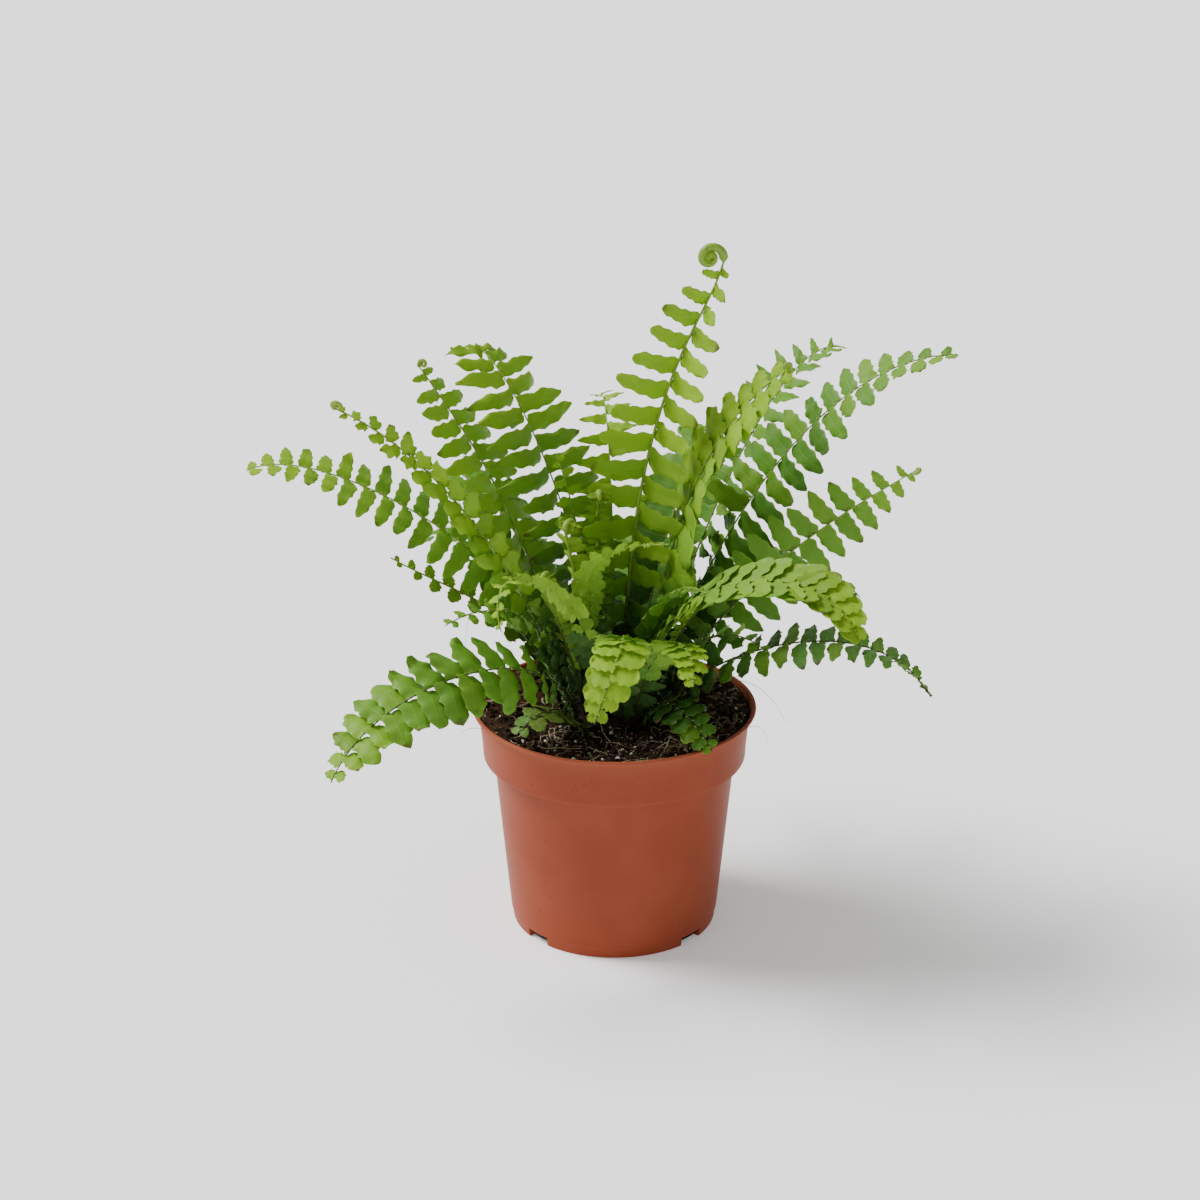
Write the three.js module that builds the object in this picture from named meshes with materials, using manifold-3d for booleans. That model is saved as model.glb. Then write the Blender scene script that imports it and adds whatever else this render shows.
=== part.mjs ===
// A young sword fern (Nephrolepis) in a round plastic nursery pot.
// Millimetres, +Z up. The origin is on the pot's axis, on the flat underside that the pot stands on.
// The pot, the soil plug, the fern's crown, every frond and every coiled young shoot is a solid of its own.

import * as THREE from 'three';
import { mergeVertices } from 'three/addons/utils/BufferGeometryUtils.js';
import Module from 'manifold-3d';

const wasm = await Module();
wasm.setup();

// Pot: a tapered body, a wide band round the top and a thin lip that stands out past the band.
const POT_HEIGHT = 98;
const LIP_RADIUS = 60;
const LIP_THICKNESS = 1.2;
const BAND_TOP_RADIUS = 57.7;
const BAND_LOW_RADIUS = 55.9;
const BAND_LOW_Z = 79;
const BODY_TOP_RADIUS = 51.4;
const BODY_TOP_Z = 76.6;
const BAND_EDGE_INSET = 1.5;
const BAND_EDGE_RISE = 0.6;
const BODY_LOW_RADIUS = 44.7;
const FOOT_CREASE_Z = 4.6;
const FOOT_RADIUS = 43.9;
const WALL = 1.4;
const ROUND_SIDES = 36;

// Drain corners: four low recesses under the floor, each open through the foot and with a slot in its roof.
const DRAIN_ANGLES = [42, 138, 222, 318];
const DRAIN_HALF_WIDTH = 5.8;
const DRAIN_HEIGHT = 4;
const DRAIN_INNER_RADIUS = 33;
const DRAIN_LIMIT_Z = 12;
const CUT_PAST = 1;
const SLOT_HALF_WIDTH = 2;
const SLOT_INNER_RADIUS = 35.5;
const SLOT_OUTER_RADIUS = 40.5;

// Soil and crown.
const GAP = 0.35;
const SOIL_EDGE_Z = 95.2;
const SOIL_MIDDLE_Z = 94.5;
const SOIL_BUMP = 0.9;
const SOIL_RINGS = [44, 33, 23];
const CROWN_RADIUS = 19;
const CROWN_FOOT_Z = 85;
const CROWN_TOP_Z = 98.5;
const CROWN_FOOT_BEVEL = 4;
const CROWN_SHOULDER = 2.5;
const CROWN_TOP_SHARE = 0.55;
const CROWN_BUMP = 0.7;
const CROWN_SIDES = 14;

// Fronds. A rib is a curve with four handles: root, rise, bow and tip, where the root is at ROOT_Z.
const ROOT_Z = 92;
const ROOT_DEPTH = 6;
const STALK_HALF_WIDTH = 0.9;
const RIB_HALF_WIDTH = 0.7;
const TIP_HALF_WIDTH = 0.4;
const STALK_HALF_THICKNESS = 0.75;
const TIP_HALF_THICKNESS = 0.35;
const BLADE_HALF_THICKNESS = 0.3;
const STALK_STEPS = 2;
const STALK_SHARE = 0.2;
const STALK_CLEAR_LENGTH = 9;
const RIB_FRAMES = 60;
const COIL_STEPS = 9;
const COIL_TURNS = 1.35;
const COIL_TIGHTENING = 1.4;
const COIL_EXTRA_WIDTH = 0.8;

// Leaflets: the outline's points between its two notches, as shares of its length and of the pitch.
const BROAD_OUTLINE = [[0.55, 0.14], [0.97, 0.34], [0.98, 0.66], [0.45, 0.92]];
const SLIM_OUTLINE = [[0.62, 0.14], [1, 0.55], [0.5, 0.9]];
const LEAFLET_LEAN = [0, 14];
const LEAFLET_SAG = 0.16;
const PITCH_TAPER = 0.2;
const NOTCH_SKEW = 0.25;
const FIRST_LEAFLET_SHARE = 0.55;
const LEAFLET_GROWTH = 1.8;
const LEAFLET_TIP_LOSS = 0.8;
const LEAFLET_TIP_POWER = 2.8;
const LEAFLET_LENGTH_SPREAD = 0.07;
const LEAFLET_RAISE_SPREAD = 5;
const LEAFLET_MOST_RAISED = 76;

// A leaflet that would reach another frond is bent up or down, and then shortened, until it is clear.
const BENDS = [0, 16, -16, 32, -32, 50, -50];
const TRIMS = [1, 0.8, 0.62, 0.45, 0.3, 0.18];
const LEAFLET_CLEARANCE = 1.25;
const RIB_CLEARANCE = 2;
const SAMPLE_STEP = 1.6;

const TERRACOTTA = 0xb0553a;
const PEAT = 0x33241a;
const SCALY_BROWN = 0x5b4226;
const DARK_GREEN = 0x2f6b24;
const MID_GREEN = 0x4a8c2c;
const LIGHT_GREEN = 0x74b53a;
const YELLOW_GREEN = 0x9bcb3c;
const PLASTIC_ROUGHNESS = 0.45;
const EARTH_ROUGHNESS = 0.95;
const LEAF_ROUGHNESS = 0.5;

const FRONDS = [
  { name: 'frond_left_long', root: [-14, 4], rise: [1, 7, 130], bow: [-113, 9, 218], tip: [-152, 10, 198],
    pairs: 17, leaflet: 21, full: 3.7, turn: [-38, -10], raise: [-3, 18], lean: [0, 0], broad: true,
    tone: MID_GREEN },
  { name: 'frond_left_upper', root: [-15, -5], rise: [-35, -17, 162], bow: [-71, -22, 216],
    tip: [-110, -22, 234], pairs: 15, leaflet: 19, turn: [-70, -43], raise: [68, 50], lean: [18, 4],
    coil: 2.6, tone: MID_GREEN },
  { name: 'frond_tall_light', root: [-9, 6], rise: [-50, 28, 190], bow: [-51, 45, 185], tip: [-83, 60, 228],
    pairs: 14, leaflet: 22, full: 5, turn: [0, 13], raise: [2, 10], lean: [-12, 0], coil: 2.2,
    tone: LIGHT_GREEN },
  { name: 'frond_tall_dark', root: [-4, 10], rise: [-6, 36, 150], bow: [-49, 59, 248], tip: [-65, 84, 231],
    pairs: 15, leaflet: 25, full: 6, turn: [-5, 14], raise: [30, 6], lean: [-14, 12], broad: true,
    tone: DARK_GREEN },
  { name: 'frond_back_light', root: [1, 12], rise: [0, 42, 150], bow: [-2, 74, 218], tip: [-6, 105, 203],
    pairs: 11, leaflet: 19, turn: [-20, -5], raise: [10, 30], lean: [-10, -14], tone: LIGHT_GREEN },
  { name: 'frond_tall_coil', root: [4, 5], rise: [3, 13, 232], bow: [38, 17, 259], tip: [43.5, 16, 284],
    pairs: 14, leaflet: 23.5, full: 3.6, turn: [83, 63], raise: [20, 45], lean: [-8, -4], coil: 6,
    coilTurn: -53, broad: true, tone: MID_GREEN },
  { name: 'frond_right_young', root: [11, 1], rise: [20, 2, 180], bow: [38, -1, 223], tip: [69, -6, 246],
    pairs: 13, leaflet: 20, full: 2.4, turn: [-20, 40], raise: [14, 24], lean: [10, 18], coil: 2,
    broad: true, tone: LIGHT_GREEN },
  { name: 'frond_right_back', root: [11, 9], rise: [29, 27, 145], bow: [66, 44, 246], tip: [96, 62, 237],
    pairs: 17, leaflet: 21, full: 3.8, turn: [-24, 14], raise: [5, 16], lean: [-11, 16], tone: MID_GREEN },
  { name: 'frond_right_long', root: [15, 7], rise: [37, 15, 165], bow: [84, 16, 246], tip: [139, 12, 247],
    pairs: 18, leaflet: 22, full: 5, turn: [68, -15], raise: [-3, 17], lean: [-7, 7], broad: true,
    tone: DARK_GREEN },
  { name: 'frond_right_mid', root: [16, 1], rise: [49, -9, 162], bow: [97, -16, 192], tip: [120, -20, 208],
    pairs: 13, leaflet: 17.5, full: 3.6, turn: [63, 100], raise: [18, -4], lean: [-2, -12], coil: 1.8,
    broad: true, tone: MID_GREEN },
  { name: 'frond_right_thin', root: [22, 7], rise: [19, 18, 143], bow: [95, 25, 154], tip: [105, 26, 136],
    pairs: 9, leaflet: 7, turn: [20, 30], raise: [10, 10], tone: MID_GREEN },
  { name: 'frond_right_low', root: [23, -4], rise: [13, -15, 117], bow: [101, -23, 163],
    tip: [130, -26, 112], pairs: 15, leaflet: 17, full: 5, turn: [0, -26], raise: [-2, 22], lean: [0, -10],
    tone: MID_GREEN },
  { name: 'frond_front_right', root: [10, -9], rise: [2, -39, 178], bow: [84, -56, 190],
    tip: [93, -76, 158], pairs: 17, leaflet: 14.5, full: 3.6, turn: [8, 28], raise: [0, 32], lean: [42, 24],
    broad: true, tone: LIGHT_GREEN },
  { name: 'frond_front_centre', root: [3, -14], rise: [3, -52, 165], bow: [8, -92, 176],
    tip: [-8, -94, 131], pairs: 12, leaflet: 9.5, bare: 0.36, turn: [0, 0], raise: [-2, 4],
    tone: YELLOW_GREEN },
  { name: 'frond_front_low', root: [7, -16], rise: [12, -40, 150], bow: [32, -62, 160], tip: [30, -82, 141],
    pairs: 10, leaflet: 9, bare: 0.34, turn: [0, 0], raise: [-6, 0], tone: YELLOW_GREEN },
  { name: 'frond_front_left', root: [-7, -11], rise: [0, -45, 175], bow: [-55, -70, 200],
    tip: [-44, -78, 162], pairs: 12, leaflet: 9, bare: 0.4, turn: [0, 0], raise: [-6, 0],
    tone: YELLOW_GREEN },
  { name: 'frond_front_arch', root: [-2, -7], rise: [-14, -30, 165], bow: [-20, -57, 190],
    tip: [20, -68, 194], pairs: 12, leaflet: 9, bare: 0.4, turn: [0, 0], raise: [-10, -5],
    tone: YELLOW_GREEN },
  { name: 'frond_left_low', root: [-15, -12], rise: [-20, -52, 160], bow: [-95, -76, 140],
    tip: [-111, -84, 101], pairs: 14, leaflet: 20, full: 5, turn: [-18, 10], raise: [3, 14], lean: [10, 4],
    broad: true, tone: MID_GREEN },
  { name: 'frond_left_thin', root: [-22, 3], rise: [-30, 2, 140], bow: [-65, 3, 145], tip: [-93, 4, 162],
    pairs: 9, leaflet: 7, turn: [-30, -30], raise: [10, 15], tone: MID_GREEN },
  { name: 'frond_rim_right', root: [13, -13], rise: [14, -22, 114], bow: [26, -42, 121],
    tip: [39, -55, 101], pairs: 7, leaflet: 12, bare: 0.3, turn: [5, 25], raise: [5, 10], lean: [10, 10],
    tone: MID_GREEN },
  { name: 'frond_soil_left', root: [-13, -21], rise: [-20, -33, 116], bow: [-30, -42, 115],
    tip: [-40, -46, 104], pairs: 5, leaflet: 11, bare: 0.3, turn: [0, 0], raise: [0, 5], tone: MID_GREEN },
  { name: 'frond_inner_left', root: [-10, -2], rise: [-14, -10, 130], bow: [-40, -30, 165],
    tip: [-68, -42, 150], pairs: 10, leaflet: 11, turn: [-20, -20], raise: [0, 10], tone: DARK_GREEN },
  { name: 'frond_inner_right', root: [14, -6], rise: [20, -16, 130], bow: [44, -34, 155],
    tip: [62, -44, 138], pairs: 9, leaflet: 10, turn: [20, 20], raise: [0, 10], tone: DARK_GREEN },
  { name: 'frond_inner_front', root: [7, -4], rise: [12, -22, 140], bow: [20, -45, 175],
    tip: [34, -62, 172], pairs: 10, leaflet: 9, turn: [0, 0], raise: [0, 10], tone: DARK_GREEN },
  { name: 'frond_inner_middle', root: [-2, 5], rise: [-8, 10, 140], bow: [-16, 14, 180],
    tip: [-24, 10, 205], pairs: 10, leaflet: 10, turn: [-60, -60], raise: [10, 20], tone: DARK_GREEN },
  { name: 'frond_back_right_high', root: [6, 11], rise: [16, 30, 145], bow: [38, 70, 210],
    tip: [45, 112, 185], pairs: 11, leaflet: 18, turn: [0, 0], raise: [4, 12], tone: MID_GREEN },
  { name: 'frond_back_right_low', root: [15, 12], rise: [34, 34, 135], bow: [72, 72, 160],
    tip: [92, 96, 120], pairs: 9, leaflet: 18, turn: [0, 0], raise: [0, 12], tone: MID_GREEN },
  { name: 'frond_back_middle', root: [4, 18], rise: [8, 42, 135], bow: [14, 90, 160], tip: [16, 128, 118],
    pairs: 11, leaflet: 19, turn: [0, 0], raise: [0, 12], tone: MID_GREEN },
  { name: 'frond_back_left_high', root: [-10, 13], rise: [-24, 32, 138], bow: [-62, 62, 200],
    tip: [-84, 90, 168], pairs: 10, leaflet: 18, turn: [0, 0], raise: [2, 12], tone: MID_GREEN },
  { name: 'frond_back_left_low', root: [-6, 18], rise: [-20, 42, 132], bow: [-48, 88, 160],
    tip: [-62, 116, 118], pairs: 9, leaflet: 18, turn: [0, 0], raise: [0, 12], tone: DARK_GREEN },
  { name: 'frond_back_side', root: [-16, 9], rise: [-34, 26, 130], bow: [-68, 58, 176], tip: [-84, 66, 146],
    pairs: 9, leaflet: 16, turn: [0, 0], raise: [0, 12], tone: MID_GREEN },
];

const CROZIERS = [
  { name: 'crozier_left', root: [-6, -3], rise: [-9, -8, 125], bow: [-16, -16, 160], tip: [-20, -20, 182],
    coil: 3.2, tone: YELLOW_GREEN },
  { name: 'crozier_low', root: [-11.5, -8], rise: [-15, -14, 118], bow: [-24, -24, 148], tip: [-29, -32, 164],
    coil: 2.8, tone: YELLOW_GREEN },
  { name: 'crozier_middle', root: [-6, 1], rise: [-5, 2, 130], bow: [-8, 4, 165], tip: [-7, 6, 188],
    coil: 2.6, tone: MID_GREEN },
  { name: 'crozier_right', root: [13, -3], rise: [18, -8, 120], bow: [32, -16, 150], tip: [45, -22, 160],
    coil: 2.4, tone: YELLOW_GREEN },
];

const WELD = 1e-4;
const radians = THREE.MathUtils.degToRad;

// A repeatable number from 0 to 1 for item i of list k.
function chance(i, k) {
  const wave = Math.sin(i * 12.9898 + k * 78.233) * 43758.5453;
  return wave - Math.floor(wave);
}

function asSolid(geometry) {
  const bare = geometry.clone();
  bare.deleteAttribute('normal');
  bare.deleteAttribute('uv');
  const merged = mergeVertices(bare, WELD);
  return new wasm.Manifold(new wasm.Mesh({
    numProp: 3,
    vertProperties: new Float32Array(merged.attributes.position.array),
    triVerts: new Uint32Array(merged.index.array),
  }));
}

function asGeometry(solid) {
  const { vertProperties, triVerts } = solid.getMesh();
  const geometry = new THREE.BufferGeometry();
  geometry.setAttribute('position', new THREE.BufferAttribute(vertProperties, 3));
  geometry.setIndex(new THREE.BufferAttribute(triVerts, 1));
  return geometry;
}

function piece(name, geometry, colour, roughness) {
  geometry.computeVertexNormals();
  const finish = new THREE.MeshStandardMaterial({ color: colour, roughness, metalness: 0, flatShading: true });
  const mesh = new THREE.Mesh(geometry, finish);
  mesh.name = name;
  return mesh;
}

// A turned solid from a profile of [radius, z] pairs that starts and ends on the axis.
function turned(profile, sides) {
  const points = profile.map(([radius, z]) => new THREE.Vector2(radius, z));
  return new THREE.LatheGeometry(points, sides).rotateX(Math.PI / 2);
}

function potRadius(z) {
  const share = (z - FOOT_CREASE_Z) / (BODY_TOP_Z - FOOT_CREASE_Z);
  return THREE.MathUtils.lerp(BODY_LOW_RADIUS, BODY_TOP_RADIUS, share);
}

// A box that runs out along one drain corner's direction, from one radius to another.
function drainBlock(angle, innerRadius, outerRadius, halfWidth, lowZ, highZ) {
  const block = new THREE.BoxGeometry(outerRadius - innerRadius, 2 * halfWidth, highZ - lowZ);
  block.translate((innerRadius + outerRadius) / 2, 0, (lowZ + highZ) / 2);
  return asSolid(block.rotateZ(radians(angle)));
}

function drainHousing(angle, grow) {
  const top = DRAIN_HEIGHT + WALL + grow;
  const side = DRAIN_HALF_WIDTH + WALL + grow;
  return drainBlock(angle, DRAIN_INNER_RADIUS - WALL - grow, BODY_TOP_RADIUS, side, 0, top);
}

function makePot() {
  const outside = [
    [0, 0], [FOOT_RADIUS, 0], [BODY_LOW_RADIUS, FOOT_CREASE_Z], [BODY_TOP_RADIUS, BODY_TOP_Z],
    [BAND_LOW_RADIUS - BAND_EDGE_INSET, BODY_TOP_Z + BAND_EDGE_RISE], [BAND_LOW_RADIUS, BAND_LOW_Z],
    [BAND_TOP_RADIUS, POT_HEIGHT - LIP_THICKNESS], [LIP_RADIUS, POT_HEIGHT - LIP_THICKNESS],
    [LIP_RADIUS, POT_HEIGHT],
  ];
  const inside = [
    [BAND_TOP_RADIUS - WALL, POT_HEIGHT], [BAND_LOW_RADIUS - WALL, BAND_LOW_Z],
    [BODY_TOP_RADIUS - WALL, BODY_TOP_Z], [BODY_LOW_RADIUS - WALL, WALL], [0, WALL],
  ];
  const bucket = asSolid(turned([...outside, ...inside], ROUND_SIDES));
  const filled = asSolid(turned([[0, 0], [FOOT_RADIUS, 0], [BODY_LOW_RADIUS, FOOT_CREASE_Z],
    [potRadius(DRAIN_LIMIT_Z), DRAIN_LIMIT_Z], [0, DRAIN_LIMIT_Z]], ROUND_SIDES));
  let pot = bucket;
  for (const angle of DRAIN_ANGLES) {
    pot = pot.add(drainHousing(angle, 0).intersect(filled));
    pot = pot.subtract(drainBlock(angle, DRAIN_INNER_RADIUS, BODY_TOP_RADIUS, DRAIN_HALF_WIDTH,
      -CUT_PAST, DRAIN_HEIGHT));
    pot = pot.subtract(drainBlock(angle, SLOT_INNER_RADIUS, SLOT_OUTER_RADIUS, SLOT_HALF_WIDTH,
      DRAIN_HEIGHT - CUT_PAST, DRAIN_HEIGHT + WALL + CUT_PAST));
  }
  return piece('pot', asGeometry(pot), TERRACOTTA, PLASTIC_ROUGHNESS);
}

// Lifts the vertices of an upper surface by a seeded amount; those below lowestZ stay.
function roughen(geometry, amount, lowestZ) {
  const merged = mergeVertices(stripped(geometry), WELD);
  const place = merged.attributes.position;
  for (let i = 0; i < place.count; i++) {
    if (place.getZ(i) < lowestZ) continue;
    place.setZ(i, place.getZ(i) + amount * (2 * chance(i, 7) - 1));
  }
  return merged;
}

function stripped(geometry) {
  geometry.deleteAttribute('normal');
  geometry.deleteAttribute('uv');
  return geometry;
}

// The crown is a low scaly mound, sunk in the soil. Grown by a gap, it is also the pit that it sits in.
function crownBody(grow) {
  const radius = CROWN_RADIUS + grow;
  return turned([
    [0, CROWN_FOOT_Z - grow], [radius - CROWN_FOOT_BEVEL, CROWN_FOOT_Z - grow],
    [radius, CROWN_FOOT_Z + CROWN_FOOT_BEVEL], [radius, CROWN_TOP_Z - CROWN_SHOULDER],
    [radius * CROWN_TOP_SHARE, CROWN_TOP_Z], [0, CROWN_TOP_Z],
  ], CROWN_SIDES);
}

function makeSoil(stemHoles) {
  const share = (SOIL_EDGE_Z - BAND_LOW_Z) / (POT_HEIGHT - BAND_LOW_Z);
  const edge = THREE.MathUtils.lerp(BAND_LOW_RADIUS, BAND_TOP_RADIUS, share) - WALL - GAP;
  const rings = SOIL_RINGS.map((radius) => {
    return [radius, THREE.MathUtils.lerp(SOIL_MIDDLE_Z, SOIL_EDGE_Z, (radius / edge) ** 2)];
  });
  const body = turned([
    [0, WALL + GAP], [BODY_LOW_RADIUS - WALL - GAP, WALL + GAP],
    [BODY_TOP_RADIUS - WALL - GAP, BODY_TOP_Z + GAP], [BAND_LOW_RADIUS - WALL - GAP, BAND_LOW_Z + GAP],
    [edge, SOIL_EDGE_Z], ...rings, [0, SOIL_MIDDLE_Z],
  ], ROUND_SIDES);
  let soil = asSolid(roughen(body, SOIL_BUMP, SOIL_EDGE_Z - WELD));
  for (const angle of DRAIN_ANGLES) soil = soil.subtract(drainHousing(angle, GAP));
  soil = soil.subtract(asSolid(crownBody(GAP)));
  for (const hole of stemHoles) soil = soil.subtract(hole);
  return piece('soil', asGeometry(soil), PEAT, EARTH_ROUGHNESS);
}

function makeCrown(stemHoles) {
  let crown = asSolid(roughen(crownBody(0), CROWN_BUMP, CROWN_TOP_Z - CROWN_SHOULDER - WELD));
  for (const hole of stemHoles) crown = crown.subtract(hole);
  return piece('crown', asGeometry(crown), SCALY_BROWN, EARTH_ROUGHNESS);
}

// The rib as a row of frames: a place, the way along, and the blade's side and face directions there.
// The side starts level, square to the way the frond arches, and is carried along the curve.
function ribFrames(frond) {
  const root = new THREE.Vector3(frond.root[0], frond.root[1], ROOT_Z);
  const [rise, bow, tip] = [frond.rise, frond.bow, frond.tip].map((p) => new THREE.Vector3(...p));
  const curve = new THREE.CubicBezierCurve3(root, rise, bow, tip);
  const side = new THREE.Vector3(root.y - tip.y, tip.x - root.x, 0);
  const [rootTurn, tipTurn] = frond.turn ?? [0, 0];
  const frames = [];
  for (let i = 0; i <= RIB_FRAMES; i++) {
    const u = i / RIB_FRAMES;
    const along = curve.getTangentAt(u);
    side.addScaledVector(along, -side.dot(along)).normalize();
    const turned = side.clone().applyAxisAngle(along, radians(THREE.MathUtils.lerp(rootTurn, tipTurn, u)));
    const face = new THREE.Vector3().crossVectors(along, turned);
    frames.push({ at: curve.getPointAt(u), along, side: turned, face });
  }
  return { frames, length: curve.getLength() };
}

function frameAt(rib, u) {
  const place = THREE.MathUtils.clamp(u, 0, 1) * RIB_FRAMES;
  const index = Math.min(Math.floor(place), RIB_FRAMES - 1);
  const [from, to] = [rib.frames[index], rib.frames[index + 1]];
  const mixed = (key) => from[key].clone().lerp(to[key], place - index);
  return { at: mixed('at'), along: mixed('along').normalize(), side: mixed('side').normalize(),
    face: mixed('face').normalize() };
}

// The four corners of the rib where it is cut across: left and right, on the upper and the under face.
function ribSection(left, right, halfWidth, halfThickness) {
  const corner = (frame, sign, lift) => frame.at.clone()
    .addScaledVector(frame.side, sign * halfWidth).addScaledVector(frame.face, lift * halfThickness);
  return {
    leftTop: corner(left, 1, 1), leftUnder: corner(left, 1, -1),
    rightTop: corner(right, -1, 1), rightUnder: corner(right, -1, -1),
  };
}

function moved(frame, distance) {
  return { ...frame, at: frame.at.clone().addScaledVector(frame.along, distance) };
}

// Shares of the rib's length at which one leaflet ends and the next begins.
function notchShares(frond) {
  const bare = frond.bare ?? STALK_SHARE;
  if (!frond.pairs) return [1];
  const shares = [];
  for (let i = 0; i <= frond.pairs; i++) {
    const x = i / frond.pairs;
    shares.push(bare + (1 - bare) * x * (1 + PITCH_TAPER * (1 - x)));
  }
  return shares;
}

function leafletLength(frond, x) {
  const grown = Math.min(1, FIRST_LEAFLET_SHARE + LEAFLET_GROWTH * x);
  return frond.leaflet * grown * (1 - LEAFLET_TIP_LOSS * x ** (frond.full ?? LEAFLET_TIP_POWER));
}

// One leaflet's middle surface: its outline from the lower notch round its tip to the upper notch.
function leafletShape(frond, number, sign, lower, upper, x, bend, trim) {
  const middle = lower.at.clone().lerp(upper.at, 0.5);
  const along = upper.at.clone().sub(lower.at);
  const pitch = along.length();
  along.normalize();
  const spread = 1 + LEAFLET_LENGTH_SPREAD * (2 * chance(number, 1) - 1);
  const length = leafletLength(frond, x) * spread * trim;
  const asked = THREE.MathUtils.lerp(...frond.raise, x) + bend;
  const spreadRaise = asked + LEAFLET_RAISE_SPREAD * (2 * chance(number, 2) - 1);
  const raise = radians(Math.min(LEAFLET_MOST_RAISED, spreadRaise));
  const lean = radians(THREE.MathUtils.lerp(...(frond.lean ?? LEAFLET_LEAN), x * x));
  const side = lower.side.clone().lerp(upper.side, 0.5).multiplyScalar(sign);
  side.addScaledVector(along, -side.dot(along)).normalize();
  const face = new THREE.Vector3().crossVectors(along, side).multiplyScalar(sign);
  const out = side.clone().multiplyScalar(Math.cos(raise)).addScaledVector(face, Math.sin(raise));
  const up = face.clone().multiplyScalar(Math.cos(raise)).addScaledVector(side, -Math.sin(raise));
  const reach = out.clone().multiplyScalar(Math.cos(lean)).addScaledVector(along, Math.sin(lean));
  const points = (frond.broad ? BROAD_OUTLINE : SLIM_OUTLINE).map(([far, across]) => middle.clone()
    .addScaledVector(reach, far * length)
    .addScaledVector(along, (across - 0.5) * pitch)
    .addScaledVector(up, -LEAFLET_SAG * length * far * far));
  return { points, up, lower, upper };
}

// The closed outline of a leaflet as straight edges, cut into samples, and as triangles.
function leafletProbe(shape) {
  const ring = [shape.lower.at, ...shape.points, shape.upper.at];
  const samples = [];
  for (let i = 0; i + 1 < ring.length; i++) {
    const steps = Math.max(1, Math.ceil(ring[i].distanceTo(ring[i + 1]) / SAMPLE_STEP));
    for (let j = 0; j < steps; j++) samples.push(ring[i].clone().lerp(ring[i + 1], j / steps));
  }
  const triangles = zigzag(ring.length).map(([a, b, c]) => new THREE.Triangle(ring[a], ring[b], ring[c]));
  return { samples, triangles, box: new THREE.Box3().setFromPoints(ring).expandByScalar(LEAFLET_CLEARANCE) };
}

// Splits a ring of count points, seen as a ladder from its two ends, into triangles.
function zigzag(count) {
  const triangles = [];
  let low = 0;
  let high = count - 1;
  while (high - low >= 2) {
    triangles.push([low, low + 1, high]);
    low += 1;
    if (high - low >= 2) {
      triangles.push([low, high - 1, high]);
      high -= 1;
    }
  }
  return triangles;
}

const nearest = new THREE.Vector3();

function reaches(samples, triangles, distance) {
  return samples.some((sample) => triangles.some((triangle) => {
    triangle.closestPointToPoint(sample, nearest);
    return nearest.distanceTo(sample) < distance;
  }));
}

function isClear(probe, frond, ribs, placed) {
  for (const rib of ribs) {
    if (rib.frond === frond) continue;
    if (!rib.box.intersectsBox(probe.box)) continue;
    if (reaches(rib.samples, probe.triangles, RIB_CLEARANCE)) return false;
  }
  for (const other of placed) {
    if (other.frond === frond || !other.box.intersectsBox(probe.box)) continue;
    if (reaches(probe.samples, other.triangles, LEAFLET_CLEARANCE)) return false;
    if (reaches(other.samples, probe.triangles, LEAFLET_CLEARANCE)) return false;
  }
  return true;
}

function clearLeaflet(frond, number, sign, lower, upper, x, ribs, placed) {
  let shape = null;
  for (const trim of TRIMS) {
    for (const bend of BENDS) {
      shape = leafletShape(frond, number, sign, lower, upper, x, bend, trim);
      const probe = leafletProbe(shape);
      if (!isClear(probe, frond, ribs, placed)) continue;
      placed.push({ ...probe, frond });
      return shape;
    }
  }
  placed.push({ ...leafletProbe(shape), frond });
  return shape;
}

// Collects triangles for one closed body.
class Skin {
  constructor() {
    this.corners = [];
  }

  triangle(a, b, c) {
    this.corners.push(a, b, c);
  }

  quad(a, b, c, d) {
    this.triangle(a, b, c);
    this.triangle(a, c, d);
  }

  geometry() {
    const flat = new THREE.BufferGeometry().setFromPoints(this.corners);
    return mergeVertices(stripped(flat), WELD);
  }
}

function wall(skin, from, to, side) {
  if (side > 0) skin.quad(from.leftTop, to.leftTop, to.leftUnder, from.leftUnder);
  else skin.quad(from.rightTop, from.rightUnder, to.rightUnder, to.rightTop);
}

function ribFaces(skin, from, to) {
  skin.quad(from.leftTop, from.rightTop, to.rightTop, to.leftTop);
  skin.quad(from.leftUnder, to.leftUnder, to.rightUnder, from.rightUnder);
}

function leafletFaces(skin, from, to, shape, side) {
  const lift = (point, amount) => point.clone().addScaledVector(shape.up, amount);
  const names = side > 0 ? ['leftTop', 'leftUnder'] : ['rightTop', 'rightUnder'];
  const top = [from[names[0]], ...shape.points.map((p) => lift(p, BLADE_HALF_THICKNESS)), to[names[0]]];
  const under = [from[names[1]], ...shape.points.map((p) => lift(p, -BLADE_HALF_THICKNESS)), to[names[1]]];
  for (const [a, b, c] of zigzag(top.length)) {
    if (side > 0) {
      skin.triangle(top[a], top[c], top[b]);
      skin.triangle(under[a], under[b], under[c]);
    } else {
      skin.triangle(top[a], top[b], top[c]);
      skin.triangle(under[a], under[c], under[b]);
    }
  }
  for (let i = 0; i + 1 < top.length; i++) {
    if (side > 0) skin.quad(top[i], top[i + 1], under[i + 1], under[i]);
    else skin.quad(top[i], under[i], under[i + 1], top[i + 1]);
  }
}

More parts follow.
